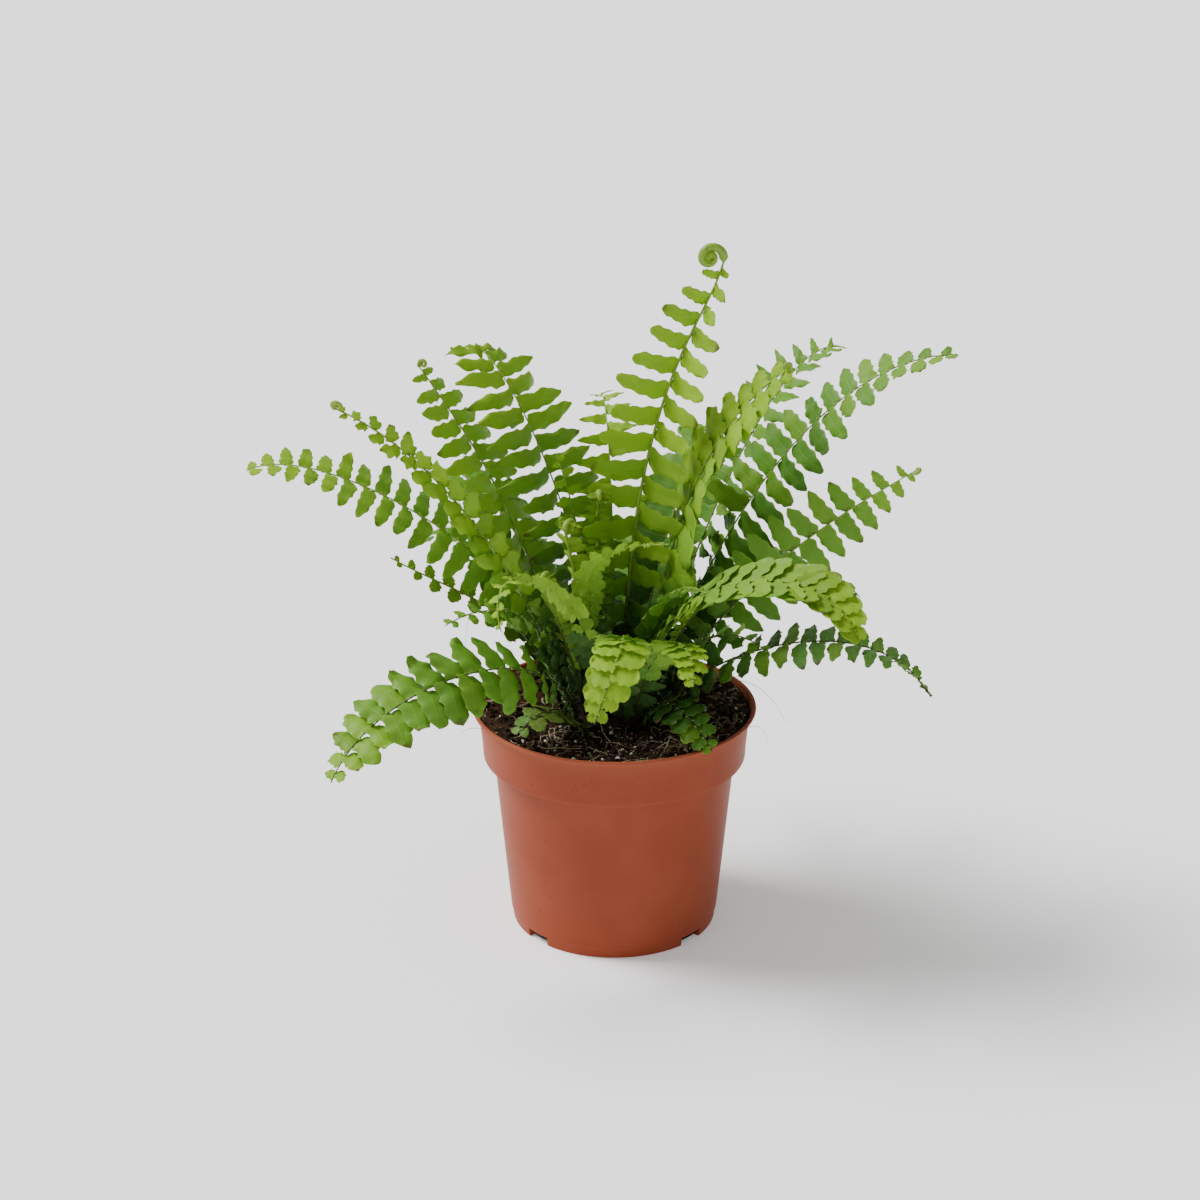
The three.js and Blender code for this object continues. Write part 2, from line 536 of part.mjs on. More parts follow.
// The coil at a young tip: the rib goes on in a spiral that winds in towards the blade's upper face.
function coilFrames(frond, last) {
  const frames = [];
  const step = 2 * Math.PI * COIL_TURNS / COIL_STEPS;
  const at = last.at.clone();
  const ownTurn = radians(frond.coilTurn ?? 0);
  const side = last.side.clone().applyAxisAngle(last.along, ownTurn);
  const inward = last.face.clone().applyAxisAngle(last.along, ownTurn);
  for (let i = 0; i < COIL_STEPS; i++) {
    const radius = frond.coil * Math.exp(-COIL_TIGHTENING * i / COIL_STEPS);
    const heading = step * (i + 0.5);
    const chord = 2 * radius * Math.sin(step / 2);
    at.addScaledVector(last.along, chord * Math.cos(heading));
    at.addScaledVector(inward, chord * Math.sin(heading));
    const angle = step * (i + 1);
    const [ahead, aside] = [Math.cos(angle), Math.sin(angle)];
    const along = last.along.clone().multiplyScalar(ahead).addScaledVector(inward, aside);
    const face = inward.clone().multiplyScalar(ahead).addScaledVector(last.along, -aside);
    frames.push({ at: at.clone(), along, side, face });
  }
  return frames;
}

// The stalk's sections: its buried end, the soil's level, clear of the crown, and on to the first leaflet.
// Made fatter by grow, the buried ones are also the hole that it stands in.
function stalkSections(rib, bare, grow) {
  const clear = STALK_CLEAR_LENGTH / rib.length;
  const frames = [moved(frameAt(rib, 0), -ROOT_DEPTH - grow)];
  for (let i = 0; i < STALK_STEPS; i++) {
    frames.push(frameAt(rib, THREE.MathUtils.lerp(clear, bare, i / STALK_STEPS)));
  }
  const kept = grow > 0 ? frames.slice(0, 2) : frames;
  return kept.map((frame) => ribSection(frame, frame, STALK_HALF_WIDTH + grow, STALK_HALF_THICKNESS + grow));
}

function makeHole(frond) {
  return asSolid(tube(stalkSections(ribFrames(frond), notchShares(frond)[0], GAP)));
}

function tube(sections) {
  const skin = new Skin();
  startCap(skin, sections[0]);
  for (let i = 0; i + 1 < sections.length; i++) tubeFaces(skin, sections[i], sections[i + 1]);
  endCap(skin, sections[sections.length - 1]);
  return skin.geometry();
}

function startCap(skin, section) {
  skin.quad(section.leftTop, section.leftUnder, section.rightUnder, section.rightTop);
}

function endCap(skin, section) {
  skin.quad(section.leftTop, section.rightTop, section.rightUnder, section.leftUnder);
}

function tubeFaces(skin, from, to) {
  ribFaces(skin, from, to);
  wall(skin, from, to, 1);
  wall(skin, from, to, -1);
}

// The frames of the left and right notches. The right ones lie half a pitch further on, so that the
// leaflets stand in turn, as they do on the plant.
function notchFrames(frond, rib) {
  const shares = notchShares(frond);
  return shares.map((u, i) => {
    const next = shares[Math.min(i + 1, shares.length - 1)];
    const previous = shares[Math.max(i - 1, 0)];
    const skew = i === 0 || i === frond.pairs ? 0 : NOTCH_SKEW * (next - previous) / 2;
    return { left: frameAt(rib, u - skew), right: frameAt(rib, u + skew) };
  });
}

function makeFrond(frond, ribs, placed) {
  const rib = ribFrames(frond);
  const skin = new Skin();
  const stalk = stalkSections(rib, notchShares(frond)[0], 0);
  startCap(skin, stalk[0]);
  for (let i = 0; i + 1 < stalk.length; i++) tubeFaces(skin, stalk[i], stalk[i + 1]);
  let last = stalk[stalk.length - 1];
  const notches = notchFrames(frond, rib);
  notches.forEach((notch, i) => {
    const x = frond.pairs ? i / frond.pairs : 1;
    const halfWidth = THREE.MathUtils.lerp(RIB_HALF_WIDTH, TIP_HALF_WIDTH, x);
    const halfThickness = THREE.MathUtils.lerp(STALK_HALF_THICKNESS, TIP_HALF_THICKNESS, x);
    const section = ribSection(notch.left, notch.right, halfWidth, halfThickness);
    if (i === 0) {
      tubeFaces(skin, last, section);
    } else {
      const before = notches[i - 1];
      const middle = (i - 0.5) / frond.pairs;
      const left = clearLeaflet(frond, 2 * i, 1, before.left, notch.left, middle, ribs, placed);
      const right = clearLeaflet(frond, 2 * i + 1, -1, before.right, notch.right, middle, ribs, placed);
      ribFaces(skin, last, section);
      leafletFaces(skin, last, section, left, 1);
      leafletFaces(skin, last, section, right, -1);
    }
    last = section;
  });
  const coil = frond.coil ? coilFrames(frond, frameAt(rib, 1)) : [];
  coil.forEach((frame, i) => {
    const halfWidth = TIP_HALF_WIDTH + COIL_EXTRA_WIDTH * (1 - i / COIL_STEPS);
    const section = ribSection(frame, frame, halfWidth, TIP_HALF_THICKNESS);
    tubeFaces(skin, last, section);
    last = section;
  });
  endCap(skin, last);
  return piece(frond.name, skin.geometry(), frond.tone, LEAF_ROUGHNESS);
}

function ribProbes(frond) {
  const rib = ribFrames(frond);
  const steps = Math.ceil(rib.length / SAMPLE_STEP);
  const samples = [];
  for (let i = 0; i <= steps; i++) samples.push(frameAt(rib, i / steps).at);
  if (frond.coil) coilFrames(frond, frameAt(rib, 1)).forEach((frame) => samples.push(frame.at));
  return { frond, samples, box: new THREE.Box3().setFromPoints(samples).expandByScalar(RIB_CLEARANCE) };
}

function makeFern() {
  const shoots = [...FRONDS, ...CROZIERS];
  const ribs = shoots.map(ribProbes);
  const placed = [];
  const holes = shoots.map(makeHole);
  const fern = new THREE.Group();
  fern.add(makePot(), makeSoil(holes), makeCrown(holes));
  for (const shoot of shoots) fern.add(makeFrond(shoot, ribs, placed));
  return fern;
}

export default makeFern();
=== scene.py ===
import math
import random

import bmesh
import bpy
import numpy as np
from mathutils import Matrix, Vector
from mathutils.bvhtree import BVHTree
from mathutils.geometry import closest_point_on_tri


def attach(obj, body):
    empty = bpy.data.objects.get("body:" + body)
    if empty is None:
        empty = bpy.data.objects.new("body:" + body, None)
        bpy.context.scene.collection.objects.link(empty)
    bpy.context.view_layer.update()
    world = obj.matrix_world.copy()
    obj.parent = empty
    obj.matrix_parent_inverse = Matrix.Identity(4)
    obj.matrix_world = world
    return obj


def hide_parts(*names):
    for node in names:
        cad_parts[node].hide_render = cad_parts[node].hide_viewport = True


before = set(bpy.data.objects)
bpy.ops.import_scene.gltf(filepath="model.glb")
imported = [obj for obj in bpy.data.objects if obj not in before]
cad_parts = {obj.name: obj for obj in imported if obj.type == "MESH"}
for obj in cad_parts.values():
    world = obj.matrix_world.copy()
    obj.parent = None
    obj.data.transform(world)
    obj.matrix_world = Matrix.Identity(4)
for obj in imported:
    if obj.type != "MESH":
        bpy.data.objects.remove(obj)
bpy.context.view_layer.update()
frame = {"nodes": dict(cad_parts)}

# ---------------------------------------------------------------------------------------------
# The camera. It looks down on the pot from the front, from a little above the plant, through a
# long lens, so that the pot's walls stay almost upright in the picture.

MM = 0.001
LENS = 72.06
LOOK_DOWN = 21.2
CAMERA_PLACE = (-6.1, -932.3, 506.4)

bpy.ops.object.select_all(action="DESELECT")
bpy.ops.object.camera_add(
    location=[value * MM for value in CAMERA_PLACE],
    rotation=(math.radians(90 - LOOK_DOWN), 0, 0),
)
camera = bpy.context.object
camera.name = "camera"
camera.data.lens = LENS
camera.data.sensor_width = 36
camera.data.clip_end = 30
bpy.context.scene.camera = camera

# ---------------------------------------------------------------------------------------------
# The nursery pot: one thin shell of injection-moulded plastic, terracotta coloured and satin.
# It is turned up from its flat underside, over the thin lip and down inside to the floor. The
# four drain corners are boxes added to the floor and then cut open through the foot.

POT_SIDES = 128
POT_RINGS = [
    (22, 0), (43.5, 0), (43.85, 0.3), (44.3, 4.1), (44.4, 4.5), (44.68, 4.75), (46.9, 28), (49.1, 52),
    (51.25, 75.0), (51.45, 75.6), (54.9, 75.9), (55.5, 76.05), (55.75, 76.5), (55.85, 78), (56.0, 81.6),
    (56.25, 84.2), (56.8, 90), (57.4, 95.6), (57.65, 96.4), (58.1, 96.75), (59.5, 96.9), (59.85, 97.05),
    (60, 97.4), (59.85, 97.8), (59.5, 98), (58.7, 98), (58.3, 97.8), (58.0, 97.2), (55.9, 90),
    (55.0, 84), (54.3, 80.2), (51.0, 77.4), (49.9, 75.8), (43.6, 2.1), (43, 1.4), (22, 1.4),
]
DRAIN_ANGLES = (42, 138, 222, 318)
DRAIN_INNER_RADIUS = 33
DRAIN_OUTER_RADIUS = 52
DRAIN_HALF_WIDTH = 5.8
DRAIN_HEIGHT = 4
WALL = 1.4
SLOT = (35.5, 40.5, 2)


def turned_up(name, rings, sides):
    """A round solid: a circle that is extruded from one (radius, height) in mm to the next."""
    bpy.ops.object.select_all(action="DESELECT")
    bpy.ops.mesh.primitive_circle_add(
        vertices=sides, radius=rings[0][0] * MM, location=(0, 0, rings[0][1] * MM)
    )
    bpy.ops.object.transform_apply(location=True, rotation=True, scale=True)
    piece = bpy.context.object
    piece.name = name
    bpy.ops.object.mode_set(mode="EDIT")
    bpy.ops.mesh.select_all(action="SELECT")
    for (radius, height), (next_radius, next_height) in zip(rings, rings[1:]):
        lift = (0, 0, (next_height - height) * MM)
        bpy.ops.mesh.extrude_region_move(TRANSFORM_OT_translate={"value": lift})
        grow = next_radius / radius
        bpy.ops.transform.resize(value=(grow, grow, 1), center_override=(0, 0, 0))
    bpy.ops.mesh.select_all(action="SELECT")
    bpy.ops.mesh.fill_holes(sides=0)
    bpy.ops.mesh.normals_make_consistent(inside=False)
    bpy.ops.object.mode_set(mode="OBJECT")
    return piece


def joined(name, pieces):
    bpy.ops.object.select_all(action="DESELECT")
    for piece in pieces:
        piece.select_set(True)
    bpy.context.view_layer.objects.active = pieces[0]
    if len(pieces) > 1:
        bpy.ops.object.join()
    pieces[0].name = name
    return pieces[0]


def drain_blocks(inner, outer, half_width, low, high):
    """A block in each drain corner, between two radii and two heights in mm."""
    blocks = []
    for angle in DRAIN_ANGLES:
        turn = math.radians(angle)
        middle = (inner + outer) / 2 * MM
        bpy.ops.mesh.primitive_cube_add(
            size=1,
            location=(middle * math.cos(turn), middle * math.sin(turn), (low + high) / 2 * MM),
            rotation=(0, 0, turn),
            scale=((outer - inner) * MM, 2 * half_width * MM, (high - low) * MM),
        )
        bpy.ops.object.transform_apply(location=True, rotation=True, scale=True)
        blocks.append(bpy.context.object)
    return joined("drain_blocks", blocks)


def finish_with(piece, kind, **settings):
    """Adds a modifier with these settings and applies it."""
    bpy.ops.object.select_all(action="DESELECT")
    piece.select_set(True)
    bpy.context.view_layer.objects.active = piece
    modifier = piece.modifiers.new(kind.lower(), kind)
    for name, value in settings.items():
        setattr(modifier, name, value)
    bpy.ops.object.modifier_apply(modifier=modifier.name)


def roughen(piece, size, height, **settings):
    """Pushes a surface into cloudy lumps of a size in metres and a height in mm."""
    lumps = bpy.data.textures.new("lumps", "CLOUDS")
    lumps.noise_scale = size
    lumps.noise_depth = 2
    finish_with(piece, "DISPLACE", texture=lumps, strength=height * MM, texture_coords="LOCAL", **settings)


def carve(piece, tool, operation):
    finish_with(piece, "BOOLEAN", object=tool, operation=operation, solver="EXACT")
    bpy.data.objects.remove(tool)


class Signal:
    """A value on its way through a material's nodes, used in Python expressions."""

    def __init__(self, tree, socket=None):
        self.tree = tree
        self.socket = socket

    def node(self, kind, settings=None, inputs=None, output=0):
        """An output of a new node, whose inputs are constants or signals."""
        made = self.tree.nodes.new(kind)
        for name, value in (settings or {}).items():
            setattr(made, name, value)
        for name, value in (inputs or {}).items():
            put(value, made.inputs[name])
        return Signal(self.tree, made.outputs[output])

    def maths(self, operation, *others):
        values = dict(enumerate((self, *others)))
        return self.node("ShaderNodeMath", {"operation": operation}, values)

    def __add__(self, other):
        return self.maths("ADD", other)

    def __sub__(self, other):
        return self.maths("SUBTRACT", other)

    def __mul__(self, other):
        return self.maths("MULTIPLY", other)

    def __rsub__(self, other):
        return (self * -1) + other

    __radd__ = __add__
    __rmul__ = __mul__

    def within(self, low, high):
        """0 below low, 1 above high, and smooth between them; the other way round if low > high."""
        if low > high:
            return 1 - self.within(high, low)
        limits = {"Value": self, "From Min": low, "From Max": high}
        return self.node("ShaderNodeMapRange", {"interpolation_type": "SMOOTHSTEP"}, limits)

    def noise(self, scale, detail=3, roughness=0.55):
        """Cloudy noise at this place; scale is in lumps per metre."""
        inputs = {"Vector": self, "Scale": scale, "Detail": detail, "Roughness": roughness}
        return self.node("ShaderNodeTexNoise", {}, inputs)

    def cells(self, scale, output="Distance"):
        """The distance to the nearest of many scattered points, or that point's own colour."""
        return self.node("ShaderNodeTexVoronoi", {}, {"Vector": self, "Scale": scale}, output)

    def stretched(self, *scale):
        return self.node("ShaderNodeMapping", {}, {"Vector": self, "Scale": scale})

    def parts(self):
        split = self.node("ShaderNodeSeparateXYZ", {}, {"Vector": self}).socket.node
        return [Signal(self.tree, socket) for socket in split.outputs]

    def fact(self, name):
        """The three numbers that the mesh's points carry under this name."""
        return self.node("ShaderNodeAttribute", {"attribute_name": name}, {}, "Vector").parts()

    def ramp(self, *stops):
        """Colours for the values from 0 to 1; each stop is a value and its colour."""
        made = self.node("ShaderNodeValToRGB", {}, {"Fac": self})
        elements = made.socket.node.color_ramp.elements
        while len(elements) < len(stops):
            elements.new(0.5)
        for element, (value, colour) in zip(elements, stops):
            element.position = value
            element.color = (*colour, 1)
        return made

    def tinted(self, *layers):
        """This colour under layers of other colours; each layer is a colour and its share."""
        mixed = self
        for colour, share in layers:
            inputs = {"Factor": share, 6: mixed, 7: (*colour, 1)}
            mixed = self.node("ShaderNodeMix", {"data_type": "RGBA"}, inputs, 2)
        return mixed

    def bump(self, depth, strength=1.0):
        """A bump whose height, from 0 to 1, stands for depth in metres."""
        inputs = {"Height": self, "Distance": depth, "Strength": strength}
        return self.node("ShaderNodeBump", {}, inputs)


def put(value, socket):
    """Links a signal to a socket, or sets the socket to a constant."""
    if isinstance(value, Signal):
        value.tree.links.new(value.socket, socket)
    else:
        socket.default_value = value


def feed(shader, **values):
    for name, value in values.items():
        put(value, shader.inputs[name.replace("_", " ")])


def finish(name, **constants):
    """A new material with one Principled shader. Gives it, the place in it, and its shader."""
    material = bpy.data.materials.new(name)
    material.use_nodes = True
    tree = material.node_tree
    tree.nodes.clear()
    place = Signal(tree).node("ShaderNodeTexCoord", {}, {}, "Object")
    surface = place.node("ShaderNodeBsdfPrincipled")
    put(surface, tree.nodes.new("ShaderNodeOutputMaterial").inputs["Surface"])
    shader = surface.socket.node
    feed(shader, **constants)
    return material, place, shader


pot = turned_up("nursery_pot", POT_RINGS, POT_SIDES)
body = turned_up("pot_body", [(20, -1), (43.2, -1), (44.0, 4.5), (44.6, 12), (20, 12)], POT_SIDES)
housing = drain_blocks(
    DRAIN_INNER_RADIUS - WALL, DRAIN_OUTER_RADIUS, DRAIN_HALF_WIDTH + WALL, 0.7, DRAIN_HEIGHT + WALL
)
carve(housing, body, "INTERSECT")
carve(pot, housing, "UNION")
notch = drain_blocks(DRAIN_INNER_RADIUS, DRAIN_OUTER_RADIUS, DRAIN_HALF_WIDTH, -1, DRAIN_HEIGHT)
carve(pot, notch, "DIFFERENCE")
slots = drain_blocks(SLOT[0], SLOT[1], SLOT[2], 3, 7)
carve(pot, slots, "DIFFERENCE")
finish_with(pot, "BEVEL", width=0.25 * MM, segments=2, limit_method="ANGLE", angle_limit=math.radians(60))
bpy.ops.object.shade_smooth_by_angle(angle=math.radians(38))

plastic, place, shader = finish("terracotta_plastic", IOR=1.46, Specular_IOR_Level=0.1)
high = place.parts()[2]
# Painted highlight: the band under the rim is painted lighter and more orange. The same mask also puts
# more real soil grime and a rougher finish near the rim.
rim_highlight_and_grime = high.within(0.086, 0.098)
# Painted shade: the wall is painted darker and deeper red towards the foot.
shaded_foot = high.within(0.03, 0.0)
cloud = place.noise(14, 4)
mottle = place.noise(60, 3)
grime = place.noise(130, 5, 0.7).within(0.6, 0.75)
specks = place.cells(240).within(0.13, 0.05) * place.noise(45, 2).within(0.56, 0.64)
scratches = place.stretched(1, 1, 0.16).noise(520, 2).within(0.7, 0.78)
scuffs = scratches * place.noise(32, 2).within(0.55, 0.68)
clay = (cloud * 0.7 + mottle * 0.3).ramp(
    (0.3, (0.240, 0.048, 0.021)), (0.52, (0.275, 0.058, 0.026)), (0.72, (0.305, 0.070, 0.033))
)
clay = clay.tinted(
    # painted highlight on the band under the rim
    ((0.34, 0.10, 0.05), rim_highlight_and_grime * 0.35),
    # painted shade towards the foot
    ((0.26, 0.045, 0.014), shaded_foot * 0.4),
    ((0.10, 0.045, 0.03), grime * (0.12 + rim_highlight_and_grime * 0.3)),
    ((0.055, 0.03, 0.02), specks * 0.75),
    ((0.62, 0.36, 0.27), scuffs * 0.45),
)
grain = place.noise(1500, 2) * 0.6 + mottle * 0.4
feed(
    shader,
    Base_Color=clay,
    Roughness=0.42 + cloud * 0.12 + rim_highlight_and_grime * 0.12,
    Normal=grain.bump(0.00003, 0.5),
)
pot.data.materials.clear()
pot.data.materials.append(plastic)
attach(pot, "root")
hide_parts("pot")

# ---------------------------------------------------------------------------------------------
# The soil: a plug of dark, fibrous peat that fills the pot to a few millimetres below the lip.
# It is turned up like the pot, with many rings on its top, which are then pushed into crumbs.

SOIL_EDGE = (57.0, 96.3)
SOIL_MIDDLE_Z = 94.6
SOIL_SIDES = 150
SOIL_STEP = 1.0
SOIL_LUMPS = ((0.011, 2.4), (0.0042, 2.8), (0.0019, 1.5))


def soil_height(radius):
    """The soil's level in mm at a radius, before it is roughened."""
    share = (radius / SOIL_EDGE[0]) ** 2
    return SOIL_MIDDLE_Z + (SOIL_EDGE[1] - SOIL_MIDDLE_Z) * share


soil_rings = [(20, 1.8), (42.8, 1.8), (49.4, 76.95), (54.0, 80.6), (55.6, 90), SOIL_EDGE]
radius = SOIL_EDGE[0] - 0.4
while radius > 1:
    soil_rings.append((radius, soil_height(radius)))
    radius -= SOIL_STEP
soil = turned_up("soil_plug", soil_rings, SOIL_SIDES)
top = soil.vertex_groups.new(name="top")
top.add([v.index for v in soil.data.vertices if v.co.z > (SOIL_MIDDLE_Z - 0.1) * MM], 1.0, "REPLACE")
for size, height in SOIL_LUMPS:
    roughen(soil, size, height, mid_level=0.5, direction="Z", vertex_group="top")
bpy.ops.object.shade_smooth()

peat, place, shader = finish("potting_soil", Specular_IOR_Level=0.08)
crumb = place.cells(420)
fibre = place.stretched(0.25, 1, 1).noise(620, 4, 0.7)
damp = place.noise(38, 3)
fleck = place.cells(900, "Color").parts()[0]
leftward = place.parts()[0].within(-0.012, -0.045)
earth = (crumb * 0.6 + place.noise(300, 5, 0.7) * 0.6).ramp(
    (0.25, (0.0015, 0.001, 0.0006)), (0.5, (0.006, 0.003, 0.0016)), (0.8, (0.045, 0.023, 0.011))
)
earth = earth.tinted(
    ((0.055, 0.022, 0.009), leftward * place.noise(140, 4).within(0.4, 0.6) * 0.7),
    ((0.12, 0.075, 0.04), fibre.within(0.6, 0.7) * 0.5),
    ((0.006, 0.004, 0.003), damp.within(0.5, 0.68) * 0.55),
    ((0.30, 0.24, 0.17), fleck.within(0.93, 0.97) * 0.45),
)
lumpy = crumb * 0.5 + place.noise(900, 5, 0.8)
feed(shader, Base_Color=earth, Roughness=0.78 + damp * 0.2, Normal=lumpy.bump(0.0006, 0.9))
soil.data.materials.append(peat)
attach(soil, "root")
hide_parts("soil")

# ---------------------------------------------------------------------------------------------
# What lies in the soil's surface: dark crumbs, white perlite and bark chips, each modelled once and
# copied over the roughened soil, and pale roots and curled wisps of moss, which are strands along it.

CROWN_RADIUS = 19
DROP_FROM = 120
FRONT_ANGLES = (215, 325)
BIT_KINDS = (
    # name, count, smallest and largest size, flatness, share near the front, tint
    ("peat_crumbs", 900, 0.8, 2.8, 0.75, 0.3, "crumb"),
    ("perlite", 190, 0.4, 1.9, 0.8, 0.7, "perlite"),
    ("bark_chips", 170, 0.7, 2.8, 0.3, 0.3, "bark"),
)
ROOT_COUNT = 60
LONG_ROOTS = (
    # x, y and the height over the soil in mm, at places along each
    ((-55.5, 3, 1.2), (-51, 2, 2.2), (-44, -2, 0.6)),
    ((-31, -31, 0.3), (-24, -28, 1.8), (-16, -25, 0.5)),
    ((-6, -20, 2.0), (-5, -27, 1.6), (-2, -35, 0.3)),
    ((20, -45, 0.2), (22.3, -38, 2.8), (25.6, -39, 3.0), (29.5, -47, 0.4)),
)
MOSS_COUNT = 90
STRAND_STEPS = 12


def modelled_lump(name, seed, sharp):
    """A lump one unit across: a small ball with its corners pulled about."""
    bpy.ops.object.select_all(action="DESELECT")
    bpy.ops.mesh.primitive_ico_sphere_add(subdivisions=2, radius=0.5)
    lump = bpy.context.object
    lump.name = name
    bpy.ops.object.mode_set(mode="EDIT")
    bpy.ops.mesh.select_all(action="SELECT")
    bpy.ops.transform.vertex_random(offset=sharp, uniform=0.0, normal=0.0, seed=seed)
    bpy.ops.object.mode_set(mode="OBJECT")
    return lump


def fact_of(shape, name="position"):
    """The three numbers that each point of a shape carries under this name, in rows."""
    values = np.zeros(len(shape.data.vertices) * 3)
    shape.data.attributes[name].data.foreach_get("vector", values)
    return values.reshape(-1, 3)


def give_fact(mesh, name, values):
    """Writes three numbers to each point of a mesh, for its material to read."""
    attribute = mesh.attributes.new(name, "FLOAT_VECTOR", "POINT")
    attribute.data.foreach_set("vector", np.ravel(values))


def copies(name, shape, places, growths, blades=None):
    """One piece made of copies of a shape's mesh, one for each array of its points in metres.

    growths holds each copy's growth fact, and blades the blade facts of each copy's points."""
    faces = [tuple(polygon.vertices) for polygon in shape.data.polygons]
    count = len(shape.data.vertices)
    all_faces = []
    for number in range(len(places)):
        shift = number * count
        all_faces.extend(tuple(corner + shift for corner in face) for face in faces)
    mesh = bpy.data.meshes.new(name)
    mesh.from_pydata(np.concatenate(places).tolist(), [], all_faces)
    if blades:
        give_fact(mesh, "blade", np.concatenate(blades))
    give_fact(mesh, "growth", np.repeat(growths, count, axis=0))
    piece = bpy.data.objects.new(name, mesh)
    bpy.context.scene.collection.objects.link(piece)
    return piece


def turned_about(rng):
    """A random turn as three rows of unit vectors."""
    turn = Vector((rng.uniform(-1, 1), rng.uniform(-1, 1), rng.uniform(-1, 1))).normalized()
    return np.array(turn.to_track_quat("Z", "Y").to_matrix())


bpy.context.view_layer.update()
soil_tree = BVHTree.FromObject(soil, bpy.context.evaluated_depsgraph_get())


def dropped_on(tree, x, y):
    """The point of a surface that is straight below x, y in mm, or None."""
    return tree.ray_cast(Vector((x * MM, y * MM, DROP_FROM * MM)), Vector((0, 0, -1)))[0]


def soil_at(x, y):
    return np.array(dropped_on(soil_tree, x, y))


def soil_spot(rng, front):
    """A place on the soil, clear of the crown and the pot's wall; the share front lies at the front."""
    angle = rng.uniform(0, math.tau)
    if rng.random() < front:
        angle = math.radians(rng.uniform(*FRONT_ANGLES))
    radius = math.sqrt(rng.uniform(CROWN_RADIUS ** 2, (SOIL_EDGE[0] - 1.5) ** 2))
    return radius * math.cos(angle), radius * math.sin(angle)


def bit_material(name, dark, light, roughness):
    material, place, shader = finish(name, Specular_IOR_Level=0.12, Roughness=roughness)
    tint = place.fact("growth")[0]
    shade = (tint * 0.7 + place.noise(500, 3) * 0.3).ramp((0.15, dark), (0.85, light))
    shade = shade.tinted(((0.02, 0.012, 0.008), place.noise(260, 3).within(0.52, 0.7) * 0.5))
    feed(shader, Base_Color=shade, Normal=place.noise(1400, 4, 0.7).bump(0.0003, 0.8))
    return material


BIT_TINTS = {
    "crumb": bit_material("peat_crumb", (0.003, 0.0018, 0.001), (0.040, 0.021, 0.011), 0.9),
    "perlite": bit_material("perlite", (0.22, 0.19, 0.14), (0.74, 0.70, 0.62), 0.85),
    "bark": bit_material("bark_chip", (0.03, 0.015, 0.008), (0.20, 0.12, 0.065), 0.85),
}
rng = random.Random(11)
for kind, (name, count, small, large, flat, front, tint) in enumerate(BIT_KINDS):
    lump = modelled_lump(name + "_shape", 3 + kind, 0.2)
    points = fact_of(lump)
    places = []
    growths = []
    for _ in range(count):
        x, y = soil_spot(rng, front)
        size = small + (large - small) * rng.random() ** 2.2
        stretch = np.array([size * rng.uniform(1.0, 3.6 if tint == "bark" else 1.35), size, size * flat])
        turned = (points * stretch * MM) @ turned_about(rng).T
        places.append(turned + soil_at(x, y) + np.array([0, 0, size * 0.16 * MM]))
        growths.append((rng.random(), 0, 0))
    bits = copies(name, lump, places, growths)
    bpy.data.objects.remove(lump)
    bits.data.materials.append(BIT_TINTS[tint])
    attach(bits, "root")


def strand(name, points, radii, sides=2, growth=None):
    """A round tapering strand through points in mm, as a mesh, with its growth fact at each of them.

    sides 2 gives eight faces round, and sides 0 gives four."""
    bpy.ops.object.select_all(action="DESELECT")
    bpy.ops.curve.primitive_bezier_curve_add(location=(0, 0, 0))
    piece = bpy.context.object
    piece.name = name
    line = piece.data
    line.splines.clear()
    line.dimensions = "3D"
    line.bevel_depth = MM
    line.bevel_resolution = sides
    line.use_fill_caps = True
    spline = line.splines.new("POLY")
    spline.points.add(len(points) - 1)
    for knot, point, radius in zip(spline.points, points, radii):
        knot.co = (*(float(value) * MM for value in point), 1)
        knot.radius = radius
    bpy.ops.object.convert(target="MESH")
    piece = bpy.context.object
    if growth is not None:
        round_count = len(piece.data.vertices) // (len(points) + 2)
        give_fact(piece.data, "growth", np.repeat((growth[-1], growth[0], *growth), round_count, axis=0))
    bpy.ops.object.mode_set(mode="EDIT")
    bpy.ops.mesh.select_all(action="SELECT")
    bpy.ops.mesh.remove_doubles(threshold=0.005 * MM)
    bpy.ops.mesh.normals_make_consistent(inside=False)
    bpy.ops.object.mode_set(mode="OBJECT")
    return piece


def over_soil(places):
    """Points in mm of a strand, from places that are given as x, y and the height over the soil."""
    return [soil_at(x, y) / MM + np.array([0, 0, height]) for x, y, height in places]


def wandering(rng, x, y, length, lift, bend):
    """Points in mm of a root that wanders over the soil and rises a little from it."""
    heading = rng.uniform(0, math.tau)
    reach = SOIL_EDGE[0] - 1
    places = []
    for step in range(STRAND_STEPS + 1):
        radius = math.hypot(x, y)
        if radius > reach:
            x, y = x * reach / radius, y * reach / radius
        places.append((x, y, lift * math.sin(math.pi * step / STRAND_STEPS) + 0.1))
        heading += rng.uniform(-bend, bend)
        x += math.cos(heading) * length / STRAND_STEPS
        y += math.sin(heading) * length / STRAND_STEPS
    return over_soil(places)


def laid_root(places):
    """Points in mm of a long root, on straight lines between the places."""
    stations = np.linspace(0, len(places) - 1, STRAND_STEPS + 1)
    return over_soil(zip(*(np.interp(stations, range(len(places)), values) for values in zip(*places))))


def tapered(thick, loss):
    """The radii in mm along a root that loses this share of its thickness."""
    return [thick * (1 - loss * step / STRAND_STEPS) for step in range(STRAND_STEPS + 1)]


